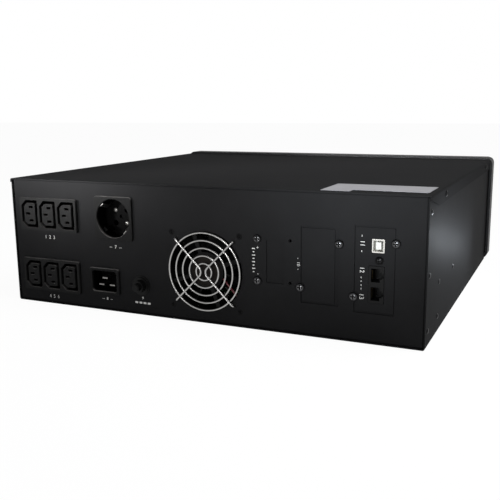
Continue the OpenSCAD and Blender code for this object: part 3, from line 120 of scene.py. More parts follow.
class DetailSettings(PropertyGroup):
    """Sizes of the worked edges and small pieces."""

    sheet_edge: FloatProperty(name="Sheet edge", description="Rounding of sheet steel edges",
                              default=0.25 * MM, unit="LENGTH")
    moulded_edge: FloatProperty(name="Moulded edge", description="Rounding of plastic edges",
                                default=0.5 * MM, unit="LENGTH")
    small_edge: FloatProperty(name="Small edge", description="Rounding of small pieces",
                              default=0.15 * MM, unit="LENGTH")
    edge_steps: IntProperty(name="Edge steps", description="Segments across a rounded edge", default=2)
    ink_height: FloatProperty(name="Ink", description="Thickness of the printed marks",
                              default=0.05 * MM, unit="LENGTH")
    numeral: FloatProperty(name="Numeral", description="Height of the printed numerals",
                           default=3.6 * MM, unit="LENGTH")
    dish_rim: FloatProperty(name="Dish rim", description="Rim round the dish of a push button",
                            default=1.2 * MM, unit="LENGTH")
    dish_depth: FloatProperty(name="Dish", description="Depth of that dish", default=0.4 * MM, unit="LENGTH")
    blade_count: IntProperty(name="Blades", description="Blades of the fan", default=7)


class StageSettings(PropertyGroup):
    """Camera, floor and lamps."""

    camera_place: FloatVectorProperty(name="Camera", description="Place of the camera",
                                      subtype="TRANSLATION", default=(-0.3264, 0.7869, 0.2062))
    camera_aim: FloatVectorProperty(name="Aim", description="Point that the camera looks at",
                                    subtype="TRANSLATION", default=(0.0012, 0.0748, 0.0460))
    camera_roll: FloatProperty(name="Roll", description="Turn of the camera about its own axis",
                               default=-0.01084, subtype="ANGLE")
    lens: FloatProperty(name="Lens", description="Focal length in millimetres on a 36 mm frame",
                        default=52.02)
    floor_size: FloatProperty(name="Floor", description="Side of the floor", default=12.0, unit="LENGTH")
    floor_tone: FloatVectorProperty(name="Floor colour", description="Colour of the floor",
                                    subtype="COLOR", default=(0.94, 0.94, 0.94))
    floor_glow: FloatProperty(name="Floor glow", description="Share of plain white in the floor as seen",
                              default=0.93, subtype="FACTOR")
    floor_white: FloatProperty(name="Floor white", description="Strength of that white", default=1.025)
    ambient: FloatProperty(name="Ambient", description="Strength of the surroundings as a lamp", default=0.8)
    sky_low: FloatVectorProperty(name="Low sky", description="Colour of the surroundings near the floor",
                                 subtype="COLOR", default=(1.0, 1.0, 1.0))
    sky_high: FloatVectorProperty(name="High sky", description="Colour of the surroundings overhead",
                                  subtype="COLOR", default=(0.30, 0.30, 0.31))
    top_power: FloatProperty(name="Top", description="Power of the broad lamp overhead",
                             default=6.0, unit="POWER")
    key_power: FloatProperty(name="Key", description="Power of the wide lamp on the rear panel",
                             default=0.26, unit="POWER")
    corner_power: FloatProperty(name="Corner", description="Power of the lamp on the panel's upper corner",
                                default=140.0, unit="POWER")
    right_power: FloatProperty(name="Right", description="Power of the cool lamp on the panel's right half",
                               default=31.0, unit="POWER")
    side_power: FloatProperty(name="Side", description="Power of the cool lamp along the side wall",
                              default=0.21, unit="POWER")
    cool: FloatVectorProperty(name="Cool light", description="Colour of the lamps on the right",
                              subtype="COLOR", default=(0.86, 0.93, 1.0))


def finishes():
    """The scene's surface colours."""
    return bpy.context.scene.supply_finishes


def details():
    """The scene's sizes of edges and small pieces."""
    return bpy.context.scene.supply_details


# Node groups and materials

def new_group(name, inputs, outputs):
    """Empty shader group with float inputs (name, default) and named outputs (name, kind)."""
    group = bpy.data.node_groups.new(name, "ShaderNodeTree")
    for title, default in inputs:
        socket = group.interface.new_socket(title, in_out="INPUT", socket_type="NodeSocketFloat")
        socket.default_value = default
    for title, kind in outputs:
        group.interface.new_socket(title, in_out="OUTPUT", socket_type=kind)
    return group, group.nodes.new("NodeGroupInput"), group.nodes.new("NodeGroupOutput")


def grain_group():
    """Fine surface grain from object coordinates: a height for the bump, and patches for tint and gloss."""
    group, inputs, outputs = new_group(
        "Surface grain",
        [("Grain scale", 1200.0), ("Patch scale", 14.0)],
        [("Height", "NodeSocketFloat"), ("Patch", "NodeSocketFloat")])
    place = group.nodes.new("ShaderNodeTexCoord")
    fine = group.nodes.new("ShaderNodeTexNoise")
    fine.inputs["Detail"].default_value = 3.0
    patch = group.nodes.new("ShaderNodeTexNoise")
    patch.inputs["Detail"].default_value = 4.0
    patch.inputs["Roughness"].default_value = 0.62
    for texture in (fine, patch):
        group.links.new(place.outputs["Object"], texture.inputs["Vector"])
    group.links.new(inputs.outputs["Grain scale"], fine.inputs["Scale"])
    group.links.new(inputs.outputs["Patch scale"], patch.inputs["Scale"])
    group.links.new(fine.outputs["Fac"], outputs.inputs["Height"])
    group.links.new(patch.outputs["Fac"], outputs.inputs["Patch"])
    return group


def dust_and_highlight_group():
    """Mask of fine dust on faces that look up, broken up by noise; at large amounts it is a painted highlight
    on upward edges.
    """
    group, inputs, outputs = new_group(
        "Settled dust", [("Amount", 0.2), ("Scale", 40.0)], [("Mask", "NodeSocketFloat")])
    place = group.nodes.new("ShaderNodeTexCoord")
    shape = group.nodes.new("ShaderNodeNewGeometry")
    split = group.nodes.new("ShaderNodeSeparateXYZ")
    noise = group.nodes.new("ShaderNodeTexNoise")
    noise.inputs["Detail"].default_value = 6.0
    upward = group.nodes.new("ShaderNodeMath")
    upward.operation = "MULTIPLY"
    upward.use_clamp = True
    amount = group.nodes.new("ShaderNodeMath")
    amount.operation = "MULTIPLY"
    amount.use_clamp = True
    group.links.new(place.outputs["Object"], noise.inputs["Vector"])
    group.links.new(inputs.outputs["Scale"], noise.inputs["Scale"])
    group.links.new(shape.outputs["Normal"], split.inputs[0])
    group.links.new(split.outputs["Z"], upward.inputs[0])
    group.links.new(noise.outputs["Fac"], upward.inputs[1])
    group.links.new(upward.outputs[0], amount.inputs[0])
    group.links.new(inputs.outputs["Amount"], amount.inputs[1])
    group.links.new(amount.outputs[0], outputs.inputs["Mask"])
    return group


def painted_shade_group():
    """Mask of painted shade on the walls that lie behind the rear panel's face, from object coordinates."""
    group, inputs, outputs = new_group(
        "Painted recess shade", [("Face", 0.0), ("Depth", 3.0 * MM)], [("Mask", "NodeSocketFloat")])
    place = group.nodes.new("ShaderNodeTexCoord")
    split = group.nodes.new("ShaderNodeSeparateXYZ")
    below = group.nodes.new("ShaderNodeMath")
    below.operation = "SUBTRACT"
    share = group.nodes.new("ShaderNodeMath")
    share.operation = "DIVIDE"
    share.use_clamp = True
    group.links.new(place.outputs["Object"], split.inputs[0])
    group.links.new(inputs.outputs["Face"], below.inputs[0])
    group.links.new(split.outputs["Y"], below.inputs[1])
    group.links.new(below.outputs[0], share.inputs[0])
    group.links.new(inputs.outputs["Depth"], share.inputs[1])
    group.links.new(share.outputs[0], outputs.inputs["Mask"])
    return group


def shared_group(name, maker):
    """The group of that name, built the first time that it is asked for."""
    found = bpy.data.node_groups.get(name)
    return found if found else maker()


def scaled(colour, factor):
    """A colour made lighter or darker by a factor."""
    return tuple(min(1.0, channel * factor) for channel in colour)


def blank_material(name, rough, metal=0.0, gloss=0.5):
    """Material with a Principled shader whose even values are set on its own sockets."""
    material = bpy.data.materials.new(name)
    material.use_nodes = True
    shader = material.node_tree.nodes["Principled BSDF"]
    shader.inputs["Roughness"].default_value = rough
    shader.inputs["Metallic"].default_value = metal
    shader.inputs["Specular IOR Level"].default_value = gloss
    return material, material.node_tree, shader


def mixed_colour(tree, mask, first, second):
    """Colour that goes from first to second as the mask goes from 0 to 1. Either may be a socket."""
    mix = tree.nodes.new("ShaderNodeMix")
    mix.data_type = "RGBA"
    tree.links.new(mask, mix.inputs[0])
    for socket, value in ((mix.inputs[6], first), (mix.inputs[7], second)):
        if isinstance(value, bpy.types.NodeSocket):
            tree.links.new(value, socket)
        else:
            socket.default_value = (*value, 1.0)
    return mix.outputs[2]


def mapped(tree, value, low, high):
    """Value from 0..1 spread over low..high."""
    spread = tree.nodes.new("ShaderNodeMapRange")
    spread.inputs["To Min"].default_value = low
    spread.inputs["To Max"].default_value = high
    tree.links.new(value, spread.inputs["Value"])
    return spread.outputs["Result"]


def grained_finish(name, colour, rough, metal=0.0, gloss=0.5, grain=1200.0, depth=0.02, patch=14.0,
                   tint=0.25, rough_play=0.06, dust_and_highlight=0.0, painted_shade_start=0.0, fade=3.0 * MM):
    """Finish with a fine grain in its height, patches in its colour and gloss, dust that also serves as a
    painted highlight on upward faces, and painted shade in recesses.
    """
    material, tree, shader = blank_material(name, rough, metal, gloss)
    surface = tree.nodes.new("ShaderNodeGroup")
    surface.node_tree = shared_group("Surface grain", grain_group)
    surface.inputs["Grain scale"].default_value = grain
    surface.inputs["Patch scale"].default_value = patch
    tone = mixed_colour(tree, surface.outputs["Patch"], scaled(colour, 1 - tint), scaled(colour, 1 + tint))
    # Lightens faces that look up: faint dust at small amounts, a painted highlight at large ones.
    if dust_and_highlight:
        dust_and_highlight_node = tree.nodes.new("ShaderNodeGroup")
        dust_and_highlight_node.node_tree = shared_group("Settled dust", dust_and_highlight_group)
        dust_and_highlight_node.inputs["Amount"].default_value = dust_and_highlight
        tone = mixed_colour(tree, dust_and_highlight_node.outputs["Mask"], tone, DUST_AND_HIGHLIGHT_TONE)
    # Painted shade: darkens what lies deeper behind the rear panel's face than the given start.
    if painted_shade_start:
        shade = tree.nodes.new("ShaderNodeGroup")
        shade.node_tree = shared_group("Painted recess shade", painted_shade_group)
        shade.inputs["Face"].default_value = PANEL_Y + painted_shade_start
        shade.inputs["Depth"].default_value = fade
        tone = mixed_colour(tree, shade.outputs["Mask"], tone, scaled(colour, PAINTED_SHADE_SHARE))
    tree.links.new(tone, shader.inputs["Base Color"])
    tree.links.new(mapped(tree, surface.outputs["Patch"], rough - rough_play, rough + rough_play),
                   shader.inputs["Roughness"])
    bump = tree.nodes.new("ShaderNodeBump")
    bump.inputs["Strength"].default_value = 1.0
    bump.inputs["Distance"].default_value = depth * MM
    tree.links.new(surface.outputs["Height"], bump.inputs["Height"])
    tree.links.new(bump.outputs["Normal"], shader.inputs["Normal"])
    return material


def label_finish(colour):
    """Silver film with a fine uneven streak."""
    material, tree, shader = blank_material("label_film", 0.32, 0.35)
    place = tree.nodes.new("ShaderNodeTexCoord")
    streak = tree.nodes.new("ShaderNodeTexNoise")
    streak.inputs["Scale"].default_value = 60.0
    streak.inputs["Detail"].default_value = 5.0
    tree.links.new(place.outputs["Object"], streak.inputs["Vector"])
    film = mixed_colour(tree, streak.outputs["Fac"], scaled(colour, 0.9), scaled(colour, 1.1))
    tree.links.new(film, shader.inputs["Base Color"])
    tree.links.new(mapped(tree, streak.outputs["Fac"], 0.26, 0.38), shader.inputs["Roughness"])
    return material


def board_finish():
    """Green solder mask with copper tracks showing as paler lines."""
    material, tree, shader = blank_material("circuit_board", 0.35)
    place = tree.nodes.new("ShaderNodeTexCoord")
    tracks = tree.nodes.new("ShaderNodeTexBrick")
    tracks.inputs["Scale"].default_value = 90.0
    tracks.inputs["Color1"].default_value = (0.012, 0.085, 0.03, 1)
    tracks.inputs["Color2"].default_value = (0.014, 0.095, 0.035, 1)
    tracks.inputs["Mortar"].default_value = (0.03, 0.16, 0.06, 1)
    tree.links.new(place.outputs["Object"], tracks.inputs["Vector"])
    tree.links.new(tracks.outputs["Color"], shader.inputs["Base Color"])
    tree.links.new(mapped(tree, tracks.outputs["Fac"], 0.32, 0.45), shader.inputs["Roughness"])
    return material


def brushed_finish(name, colour, rough, stretch=(1.0, 1.0, 40.0)):
    """Plated or drawn metal whose gloss runs in fine streaks."""
    material, tree, shader = blank_material(name, rough, 1.0)
    place = tree.nodes.new("ShaderNodeTexCoord")
    turn = tree.nodes.new("ShaderNodeMapping")
    turn.inputs["Scale"].default_value = stretch
    streak = tree.nodes.new("ShaderNodeTexNoise")
    streak.inputs["Scale"].default_value = 260.0
    streak.inputs["Detail"].default_value = 4.0
    tree.links.new(place.outputs["Object"], turn.inputs["Vector"])
    tree.links.new(turn.outputs["Vector"], streak.inputs["Vector"])
    tree.links.new(mixed_colour(tree, streak.outputs["Fac"], scaled(colour, 0.86), scaled(colour, 1.12)),
                   shader.inputs["Base Color"])
    tree.links.new(mapped(tree, streak.outputs["Fac"], rough - 0.08, rough + 0.1), shader.inputs["Roughness"])
    bump = tree.nodes.new("ShaderNodeBump")
    bump.inputs["Distance"].default_value = 0.006 * MM
    tree.links.new(streak.outputs["Fac"], bump.inputs["Height"])
    tree.links.new(bump.outputs["Normal"], shader.inputs["Normal"])
    return material


def steel_finishes(tone):
    """Powder coat on the sheet steel, each piece with its own wear."""
    coat = {"grain": 1400, "depth": 0.012}
    dull = scaled(tone.steel, 0.85)
    return {
        "black_steel": grained_finish("black_steel", dull, 0.6, gloss=0.008, dust_and_highlight=0.02, **coat),
        "cover_steel": grained_finish("cover_steel", tone.steel, 0.62, gloss=0.003, dust_and_highlight=0.01, **coat),
        "panel_steel": grained_finish("panel_steel", tone.steel, 0.6, gloss=0.008, **coat),
    }


def socket_finishes(tone):
    """Mouldings of the sockets, with painted shade in their wells behind the rear panel's face and a painted
    highlight, laid on as dust, on their upward edges.
    """
    moulded = {"grain": 2600, "depth": 0.008}
    # Painted highlight on upward edges through a large dust amount, and painted shade in the wells.
    well = {"gloss": 0.02, "dust_and_highlight": 0.9, "painted_shade_start": 2.6 * MM}
    strip = scaled(tone.face, 1.35)
    return {
        "socket_plastic": grained_finish("socket_plastic", tone.moulding, 0.45, gloss=0.1, **moulded),
        "socket_face": grained_finish("socket_face", tone.face, 0.5, **well, **moulded),
        "strip_face": grained_finish("strip_face", strip, 0.5, **well, **moulded),
        "gloss_plastic": grained_finish("gloss_plastic", tone.moulding, 0.25, gloss=0.1, grain=2600,
                                        depth=0.004),
    }


def plastic_finishes(tone):
    """Bezel, buttons, fan, wire sheaths, sleeves and the other plastics."""
    sheath = {"grain": 1500, "depth": 0.006}
    return {
        "bezel_plastic": grained_finish("bezel_plastic", tone.bezel, 0.45, gloss=0.08, grain=2200, depth=0.01,
                                        dust_and_highlight=0.03),
        "button_plastic": grained_finish("button_plastic", tone.button, 0.4, grain=2600, depth=0.006),
        "white_plastic": grained_finish("white_plastic", (0.62, 0.62, 0.58), 0.4, grain=2000, depth=0.004,
                                        tint=0.06),
        "fan_plastic": grained_finish("fan_plastic", (0.004, 0.004, 0.004), 0.45, gloss=0.08, grain=1500,
                                      depth=0.01),
        "red_insulation": grained_finish("red_insulation", tone.lead, 0.4, **sheath),
        "black_insulation": grained_finish("black_insulation", (0.012, 0.012, 0.012), 0.45, **sheath),
        "window_lens": grained_finish("window_lens", (0.006, 0.007, 0.009), 0.1, grain=300, depth=0.002,
                                      rough_play=0.03),
        "screen_face": grained_finish("screen_face", (0.06, 0.11, 0.09), 0.25, grain=800, depth=0.002),
        "light_lens": grained_finish("light_lens", (0.55, 0.62, 0.52), 0.18, grain=600, depth=0.003,
                                     tint=0.08),
        "battery_case": grained_finish("battery_case", (0.03, 0.03, 0.034), 0.5, grain=1100, depth=0.02),
        "part_plastic": grained_finish("part_plastic", (0.015, 0.015, 0.015), 0.4, grain=1800, depth=0.006),
        "capacitor_sleeve": grained_finish("capacitor_sleeve", (0.012, 0.02, 0.07), 0.3, grain=900,
                                           depth=0.004),
    }


def metal_finishes(tone):
    """Screws, wire, contacts and the metals inside."""
    return {
        "black_screw": grained_finish("black_screw", tone.screw, 0.3, gloss=0.06, grain=1800, depth=0.002),
        # Painted shade: the plate screws' cross and rim are darkened below the top of the metal crown.
        "metal_crown_painted_shade": grained_finish("metal_crown_painted_shade", tone.crown, 0.28, metal=1.0, grain=1800, depth=0.004,
                                     painted_shade_start=2.5 * MM, fade=1.1 * MM),
        "guard_wire": brushed_finish("guard_wire", tone.wire, 0.28),
        "plated_contact": brushed_finish("plated_contact", tone.plate, 0.3),
        "spring_plate": brushed_finish("spring_plate", tone.spring, 0.34),
        "brass_contact": brushed_finish("brass_contact", (0.22, 0.155, 0.06), 0.34),
        # Painted shade: the jack contacts' brass is darkened to about a quarter of the brass colour, for the
        # shade inside the jacks.
        "painted_shade_brass": brushed_finish("painted_shade_brass", (0.05, 0.036, 0.016), 0.4),
        "zinc_steel": brushed_finish("zinc_steel", (0.52, 0.53, 0.55), 0.38),
        "core_steel": brushed_finish("core_steel", (0.14, 0.14, 0.15), 0.5, (1.0, 60.0, 1.0)),
        "sink_aluminium": brushed_finish("sink_aluminium", (0.62, 0.62, 0.64), 0.36, (40.0, 1.0, 40.0)),
        "winding_copper": grained_finish("winding_copper", (0.28, 0.11, 0.03), 0.4, grain=500, depth=0.08,
                                         tint=0.4),
    }


def film_finishes(tone):
    """Printed marks, stickers and circuit boards."""
    return {
        "label_film": label_finish(tone.label),
        "ink": grained_finish("ink", tone.ink, 0.55, grain=3000, depth=0.004, tint=0.12),
        "sticker": grained_finish("sticker", (0.008, 0.0062, 0.0045), 0.5, gloss=0.1, grain=900, depth=0.004,
                                  tint=0.3),
        "circuit_board": board_finish(),
    }


def make_materials():
    """One material for each slot of the record, and the finishes that single pieces take instead."""
    tone = finishes()
    made = {}
    for maker in (steel_finishes, socket_finishes, plastic_finishes, metal_finishes, film_finishes):
        made.update(maker(tone))
    return made


MATERIALS = {}


# Modelling helpers

def select_only(piece):
    """Leaves one piece selected and active, in object mode."""
    if bpy.context.object and bpy.context.object.mode != "OBJECT":
        bpy.ops.object.mode_set(mode="OBJECT")
    bpy.ops.object.select_all(action="DESELECT")
    piece.select_set(True)
    bpy.context.view_layer.objects.active = piece


def apply_modifiers(piece):
    """Turns a piece's modifiers into its mesh, in their order."""
    select_only(piece)
    for modifier in list(piece.modifiers):
        bpy.ops.object.modifier_apply(modifier=modifier.name)


def settle(piece, name, material, body):
    """Puts a finished piece's place in its mesh, evens its shading, names it and hands it to its body."""
    select_only(piece)
    bpy.ops.object.transform_apply(location=True, rotation=True, scale=True)
    bpy.ops.object.shade_smooth_by_angle(angle=SMOOTH_ANGLE)
    even = piece.modifiers.new("Even shading", "WEIGHTED_NORMAL")
    even.keep_sharp = True
    apply_modifiers(piece)
    piece.name = name
    piece.data.name = name
    piece.data.materials.clear()
    piece.data.materials.append(MATERIALS[material])
    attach(piece, body)
    return piece


def merged_copy(node):
    """Copy of a CAD node with its triangles merged into faces, which stands for the node."""
    piece = bpy.data.objects.new(node + "_edged", NODES[node].data.copy())
    bpy.context.scene.collection.objects.link(piece)
    select_only(piece)
    bpy.ops.mesh.customdata_custom_splitnormals_clear()
    bpy.ops.object.mode_set(mode="EDIT")
    bpy.ops.mesh.select_all(action="SELECT")
    bpy.ops.mesh.remove_doubles(threshold=MERGE_DISTANCE)
    bpy.ops.mesh.dissolve_limited(angle_limit=FLAT_ANGLE)
    bpy.ops.object.mode_set(mode="OBJECT")
    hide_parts(node)
    return piece


def round_edges(piece, width):
    """Rounds the sharp edges of a piece."""
    edge = piece.modifiers.new("Rounded edge", "BEVEL")
    edge.width = width
    edge.segments = details().edge_steps
    edge.limit_method = "ANGLE"
    edge.angle_limit = EDGE_ANGLE
    edge.miter_outer = "MITER_ARC"
    edge.use_clamp_overlap = True
    apply_modifiers(piece)


def edged_copy(node, width, finish=None):
    """Copy of a CAD node with rounded edges, in the finish of its slot or another."""
    piece = merged_copy(node)
    round_edges(piece, width)
    return settle(piece, node + "_edged", finish or SLOT_OF[node], BODY_OF[node])


def raise_flat(piece, height):
    """Gives a flat mesh a thickness upwards along its own Z."""
    thick = piece.modifiers.new("Thickness", "SOLIDIFY")
    thick.thickness = height
    thick.offset = 1.0
    apply_modifiers(piece)


def printed_text(words, height, place, turn, name, body="chassis"):
    """Numeral or sign printed on a face."""
    bpy.ops.object.select_all(action="DESELECT")
    bpy.ops.object.text_add(location=place, rotation=turn)
    piece = bpy.context.object
    piece.data.body = words
    piece.data.size = height * FONT_PER_NUMERAL
    piece.data.align_x = "CENTER"
    piece.data.align_y = "CENTER"
    piece.data.resolution_u = 4
    bpy.ops.object.convert(target="MESH")
    piece = bpy.context.object
    raise_flat(piece, details().ink_height)
    return settle(piece, name, "ink", body)


def printed_bar(size, place, turn, name):
    """Straight printed stroke with softened ends."""
    bpy.ops.object.select_all(action="DESELECT")
    bpy.ops.mesh.primitive_plane_add(size=1.0, location=place, rotation=turn)
    piece = bpy.context.object
    piece.scale = (size[0], size[1], 1.0)
    bpy.ops.object.transform_apply(location=False, rotation=False, scale=True)
    bpy.ops.object.mode_set(mode="EDIT")
    bpy.ops.mesh.select_all(action="SELECT")
    bpy.ops.mesh.bevel(offset=0.3 * min(size), segments=3, affect="VERTICES")
    bpy.ops.object.mode_set(mode="OBJECT")
    raise_flat(piece, details().ink_height)
    return settle(piece, name, "ink", "chassis")


def rear_place(u, v, proud=0.0):
    """Point on the rear panel, in millimetres seen from behind: u to the right of the middle, v up."""
    return Vector((-u * MM, PANEL_Y + proud * MM, v * MM))


def rear_turn(degrees):
    """Turn of a mark on the rear panel, with its own turn on the panel."""
    spin = Matrix.Rotation(math.radians(degrees), 3, "Z")
    return (Euler(REAR_TURN).to_matrix() @ spin).to_euler()


# Operators

class SUPPLY_OT_finishes(Operator):
    """Give every CAD piece the finish of its slot"""

    bl_idname = "supply.finishes"
    bl_label = "Finishes"

    def execute(self, context):
        MATERIALS.update(make_materials())
        for name, node in NODES.items():
            node.data.materials.clear()
            node.data.materials.append(MATERIALS[SLOT_OF[name]])
        return {"FINISHED"}


class SUPPLY_OT_case(Operator):
    """Round the edges of the sheet steel pieces and the bezel"""

    bl_idname = "supply.case"
    bl_label = "Case"

    def execute(self, context):
        edged_copy("base_tray", details().sheet_edge)
        edged_copy("top_cover", details().sheet_edge, "cover_steel")
        for node in ("rear_panel", "battery_port_plate", "option_slot_cover", "interface_bracket"):
            edged_copy(node, details().sheet_edge, "panel_steel")
        edged_copy("front_bezel", details().moulded_edge)
        return {"FINISHED"}


class SUPPLY_OT_sockets(Operator):
    """Round the edges of the sockets, the inlet, the breaker and the jacks"""

    bl_idname = "supply.sockets"
    bl_label = "Sockets"

    def execute(self, context):
        for node in ("wall_socket_frame", "inlet_housing"):
            edged_copy(node, details().moulded_edge, "socket_face")
        for node in ("upper_outlet_strip", "lower_outlet_strip"):
            edged_copy(node, details().small_edge, "strip_face")
        edged_copy("wall_socket_insert", details().small_edge, "socket_face")
        edged_copy("inlet_pins", details().moulded_edge, "spring_plate")
        for node in ("breaker_body", "breaker_nut", "breaker_button"):
            edged_copy(node, details().small_edge, "gloss_plastic")
        for node in ("phone_jack_block", "usb_shell", "usb_tongue"):
            edged_copy(node, details().small_edge)
        for node in ("earth_clips", "wall_socket_screws"):
            edged_copy(node, details().small_edge, "spring_plate")
        return {"FINISHED"}


class SUPPLY_OT_screws(Operator):
    """Round the edges of the screw heads"""

    bl_idname = "supply.screws"
    bl_label = "Screws"

    def execute(self, context):
        for node in ("cover_screws", "fan_screws"):
            edged_copy(node, details().small_edge)
        edged_copy("plate_screws", details().small_edge, "metal_crown_painted_shade")
        return {"FINISHED"}


class SUPPLY_OT_fan(Operator):
    """Model the fan's rotor with curved blades, and the sticker on its hub"""

    bl_idname = "supply.fan"
    bl_label = "Fan"

    def execute(self, context):
        edged_copy("fan_frame", details().small_edge)
        self.model_rotor()
        self.model_sticker()
        return {"FINISHED"}

    def model_rotor(self):
        """Hub with rounded rims and a ring of curved blades."""
        centre = middle("fan_frame")
        count = details().blade_count
        tip = 37.3 * MM
        hub = 18.0 * MM
        hub_rim = 1.2 * MM
        face_drop = 5.5 * MM
        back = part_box("fan_rotor")[0].y
        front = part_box("fan_frame")[1].y - face_drop
        depth = front - back
        mid = Vector((centre.x, (front + back) / 2, centre.z))
        bpy.ops.object.select_all(action="DESELECT")
        bpy.ops.mesh.primitive_cylinder_add(vertices=64, radius=hub, depth=depth, location=mid,
                                            rotation=(-math.pi / 2, 0, 0))
        rotor = bpy.context.object
        bpy.ops.object.mode_set(mode="EDIT")
        bpy.ops.mesh.select_all(action="SELECT")
        bpy.ops.mesh.bevel(offset=hub_rim, segments=3)
        bpy.ops.object.mode_set(mode="OBJECT")
        bpy.ops.object.transform_apply(location=True, rotation=True, scale=True)
        turns = [step * 2 * math.pi / count for step in range(count)]
        blades = [self.model_blade(mid, hub, tip, depth, turn) for turn in turns]
        select_only(rotor)
        for blade in blades:
            blade.select_set(True)
        bpy.ops.object.join()
        settle(rotor, "fan_rotor_turned", "fan_plastic", "fan_rotor")
        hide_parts("fan_rotor")

    def model_blade(self, mid, hub, tip, depth, turn):
        """One twisted and curled blade, whose root lies inside the hub."""
        root = 1.0 * MM
        wall_thickness = 1.4 * MM
        twist_angle = math.radians(14)
        curl_angle = math.radians(38)
        pitch_angle = math.radians(48)
        span = tip - hub + root
        chord = depth * 1.15
        bpy.ops.object.select_all(action="DESELECT")
        bpy.ops.mesh.primitive_grid_add(x_subdivisions=10, y_subdivisions=10, size=1.0)
        blade = bpy.context.object
        blade.scale = (span, chord, 1.0)
        bpy.ops.object.transform_apply(location=False, rotation=False, scale=True)
        twist = blade.modifiers.new("Twist", "SIMPLE_DEFORM")
        twist.deform_method = "TWIST"
        twist.deform_axis = "X"
        twist.angle = twist_angle
        curl = blade.modifiers.new("Curl", "SIMPLE_DEFORM")
        curl.deform_method = "BEND"
        curl.deform_axis = "X"
        curl.angle = curl_angle
        wall = blade.modifiers.new("Wall", "SOLIDIFY")
        wall.thickness = wall_thickness
        wall.offset = 0.0
        apply_modifiers(blade)
        reach = Matrix.Translation(Vector(((hub + tip) / 2 - root / 2, 0, 0)))
        pitch = Matrix.Rotation(pitch_angle, 4, "X")
        around = Matrix.Rotation(turn, 4, "Z")
        upright = Matrix.Rotation(-math.pi / 2, 4, "X")
        blade.matrix_world = Matrix.Translation(mid) @ upright @ around @ reach @ pitch
        select_only(blade)
        bpy.ops.object.transform_apply(location=True, rotation=True, scale=True)
        return blade

    def model_sticker(self):
        """Plain round sticker on the hub, with a raised middle."""
        radius = 15.5 * MM
        drop = 0.4 * MM
        rim = 0.6 * MM
        rise = 0.06 * MM
        film = 0.08 * MM
        centre = middle("fan_frame")
        place = Vector((centre.x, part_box("fan_frame")[1].y - drop, centre.z))
        bpy.ops.object.select_all(action="DESELECT")
        bpy.ops.mesh.primitive_circle_add(vertices=64, radius=radius, fill_type="NGON", location=place,
                                          rotation=(-math.pi / 2, 0, 0))
        piece = bpy.context.object
        bpy.ops.object.mode_set(mode="EDIT")
        bpy.ops.mesh.select_all(action="SELECT")
        bpy.ops.mesh.inset(thickness=rim, depth=rise)
        bpy.ops.object.mode_set(mode="OBJECT")
        raise_flat(piece, film)
        settle(piece, "fan_sticker", "sticker", "chassis")


class SUPPLY_OT_controls(Operator):
    """Dish the front push buttons and print a sign on each"""

    bl_idname = "supply.controls"
    bl_label = "Controls"

    def execute(self, context):
        for node, sign in (("power_button", "o"), ("scroll_button", "="), ("enter_button", "+")):
            button = merged_copy(node)
            self.dish_face(button)
            round_edges(button, details().small_edge)
            settle(button, node + "_dished", SLOT_OF[node], BODY_OF[node])
            low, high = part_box(node)
            place = Vector(((low.x + high.x) / 2, low.y + details().dish_depth, (low.z + high.z) / 2))
            printed_text(sign, details().numeral, place, FRONT_TURN, "sign_" + node, BODY_OF[node])
        return {"FINISHED"}

    def dish_face(self, button):
        """Sinks the middle of the button's front face."""
        tolerance = 0.01 * MM
        front = min(vertex.co.y for vertex in button.data.vertices)
        for face in button.data.polygons:
            face.select = face.center.y < front + tolerance
        for edge in button.data.edges:
            edge.select = False
        for vertex in button.data.vertices:
            vertex.select = False
        bpy.ops.object.mode_set(mode="EDIT")
        bpy.ops.mesh.select_mode(type="FACE")
        bpy.ops.mesh.inset(thickness=details().dish_rim, depth=-details().dish_depth)
        bpy.ops.object.mode_set(mode="OBJECT")


class SUPPLY_OT_jacks(Operator):
    """Bend the spring contacts of the phone and network jacks"""

    bl_idname = "supply.jacks"
    bl_label = "Jacks"

    def execute(self, context):
        block = middle("phone_jack_block")
        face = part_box("phone_jack_block")[1].y
        wall_shift = 4.1 * MM
        mouth_drop = 3.0 * MM
        jack_offset = 8.1 * MM
        for side in (-1, 1):
            place = Vector((block.x + wall_shift, face - mouth_drop, block.z + side * jack_offset))
            self.bend_contacts(place, "upper" if side > 0 else "lower")
        return {"FINISHED"}

    def bend_contacts(self, place, name):
        """Row of fine wires that run back along a jack's wall and rise towards its middle."""
        count = 8
        pitch = 1.02 * MM
        thickness = 0.35 * MM
        first_bend = (-0.4 * MM, -1.5 * MM, 0)
        second_bend = (-1.8 * MM, -5.0 * MM, 0)
        start = place - Vector((0, 0, (count - 1) / 2 * pitch))
        bpy.ops.object.select_all(action="DESELECT")
        bpy.ops.mesh.primitive_plane_add(size=thickness, location=start, rotation=(math.pi / 2, 0, 0))
        wire = bpy.context.object
        bpy.ops.object.transform_apply(location=True, rotation=True, scale=True)
        bpy.ops.object.mode_set(mode="EDIT")
        bpy.ops.mesh.select_all(action="SELECT")
        for bend in (first_bend, second_bend):
            bpy.ops.mesh.extrude_region_move(TRANSFORM_OT_translate={"value": bend})
        bpy.ops.mesh.select_all(action="SELECT")
        bpy.ops.mesh.normals_make_consistent(inside=False)
        bpy.ops.object.mode_set(mode="OBJECT")
        row = wire.modifiers.new("Row", "ARRAY")
        row.count = count
        row.use_relative_offset = False
        row.use_constant_offset = True
        row.constant_offset_displace = (0, 0, pitch)
        apply_modifiers(wire)
        settle(wire, "jack_contacts_" + name, "painted_shade_brass", "chassis")


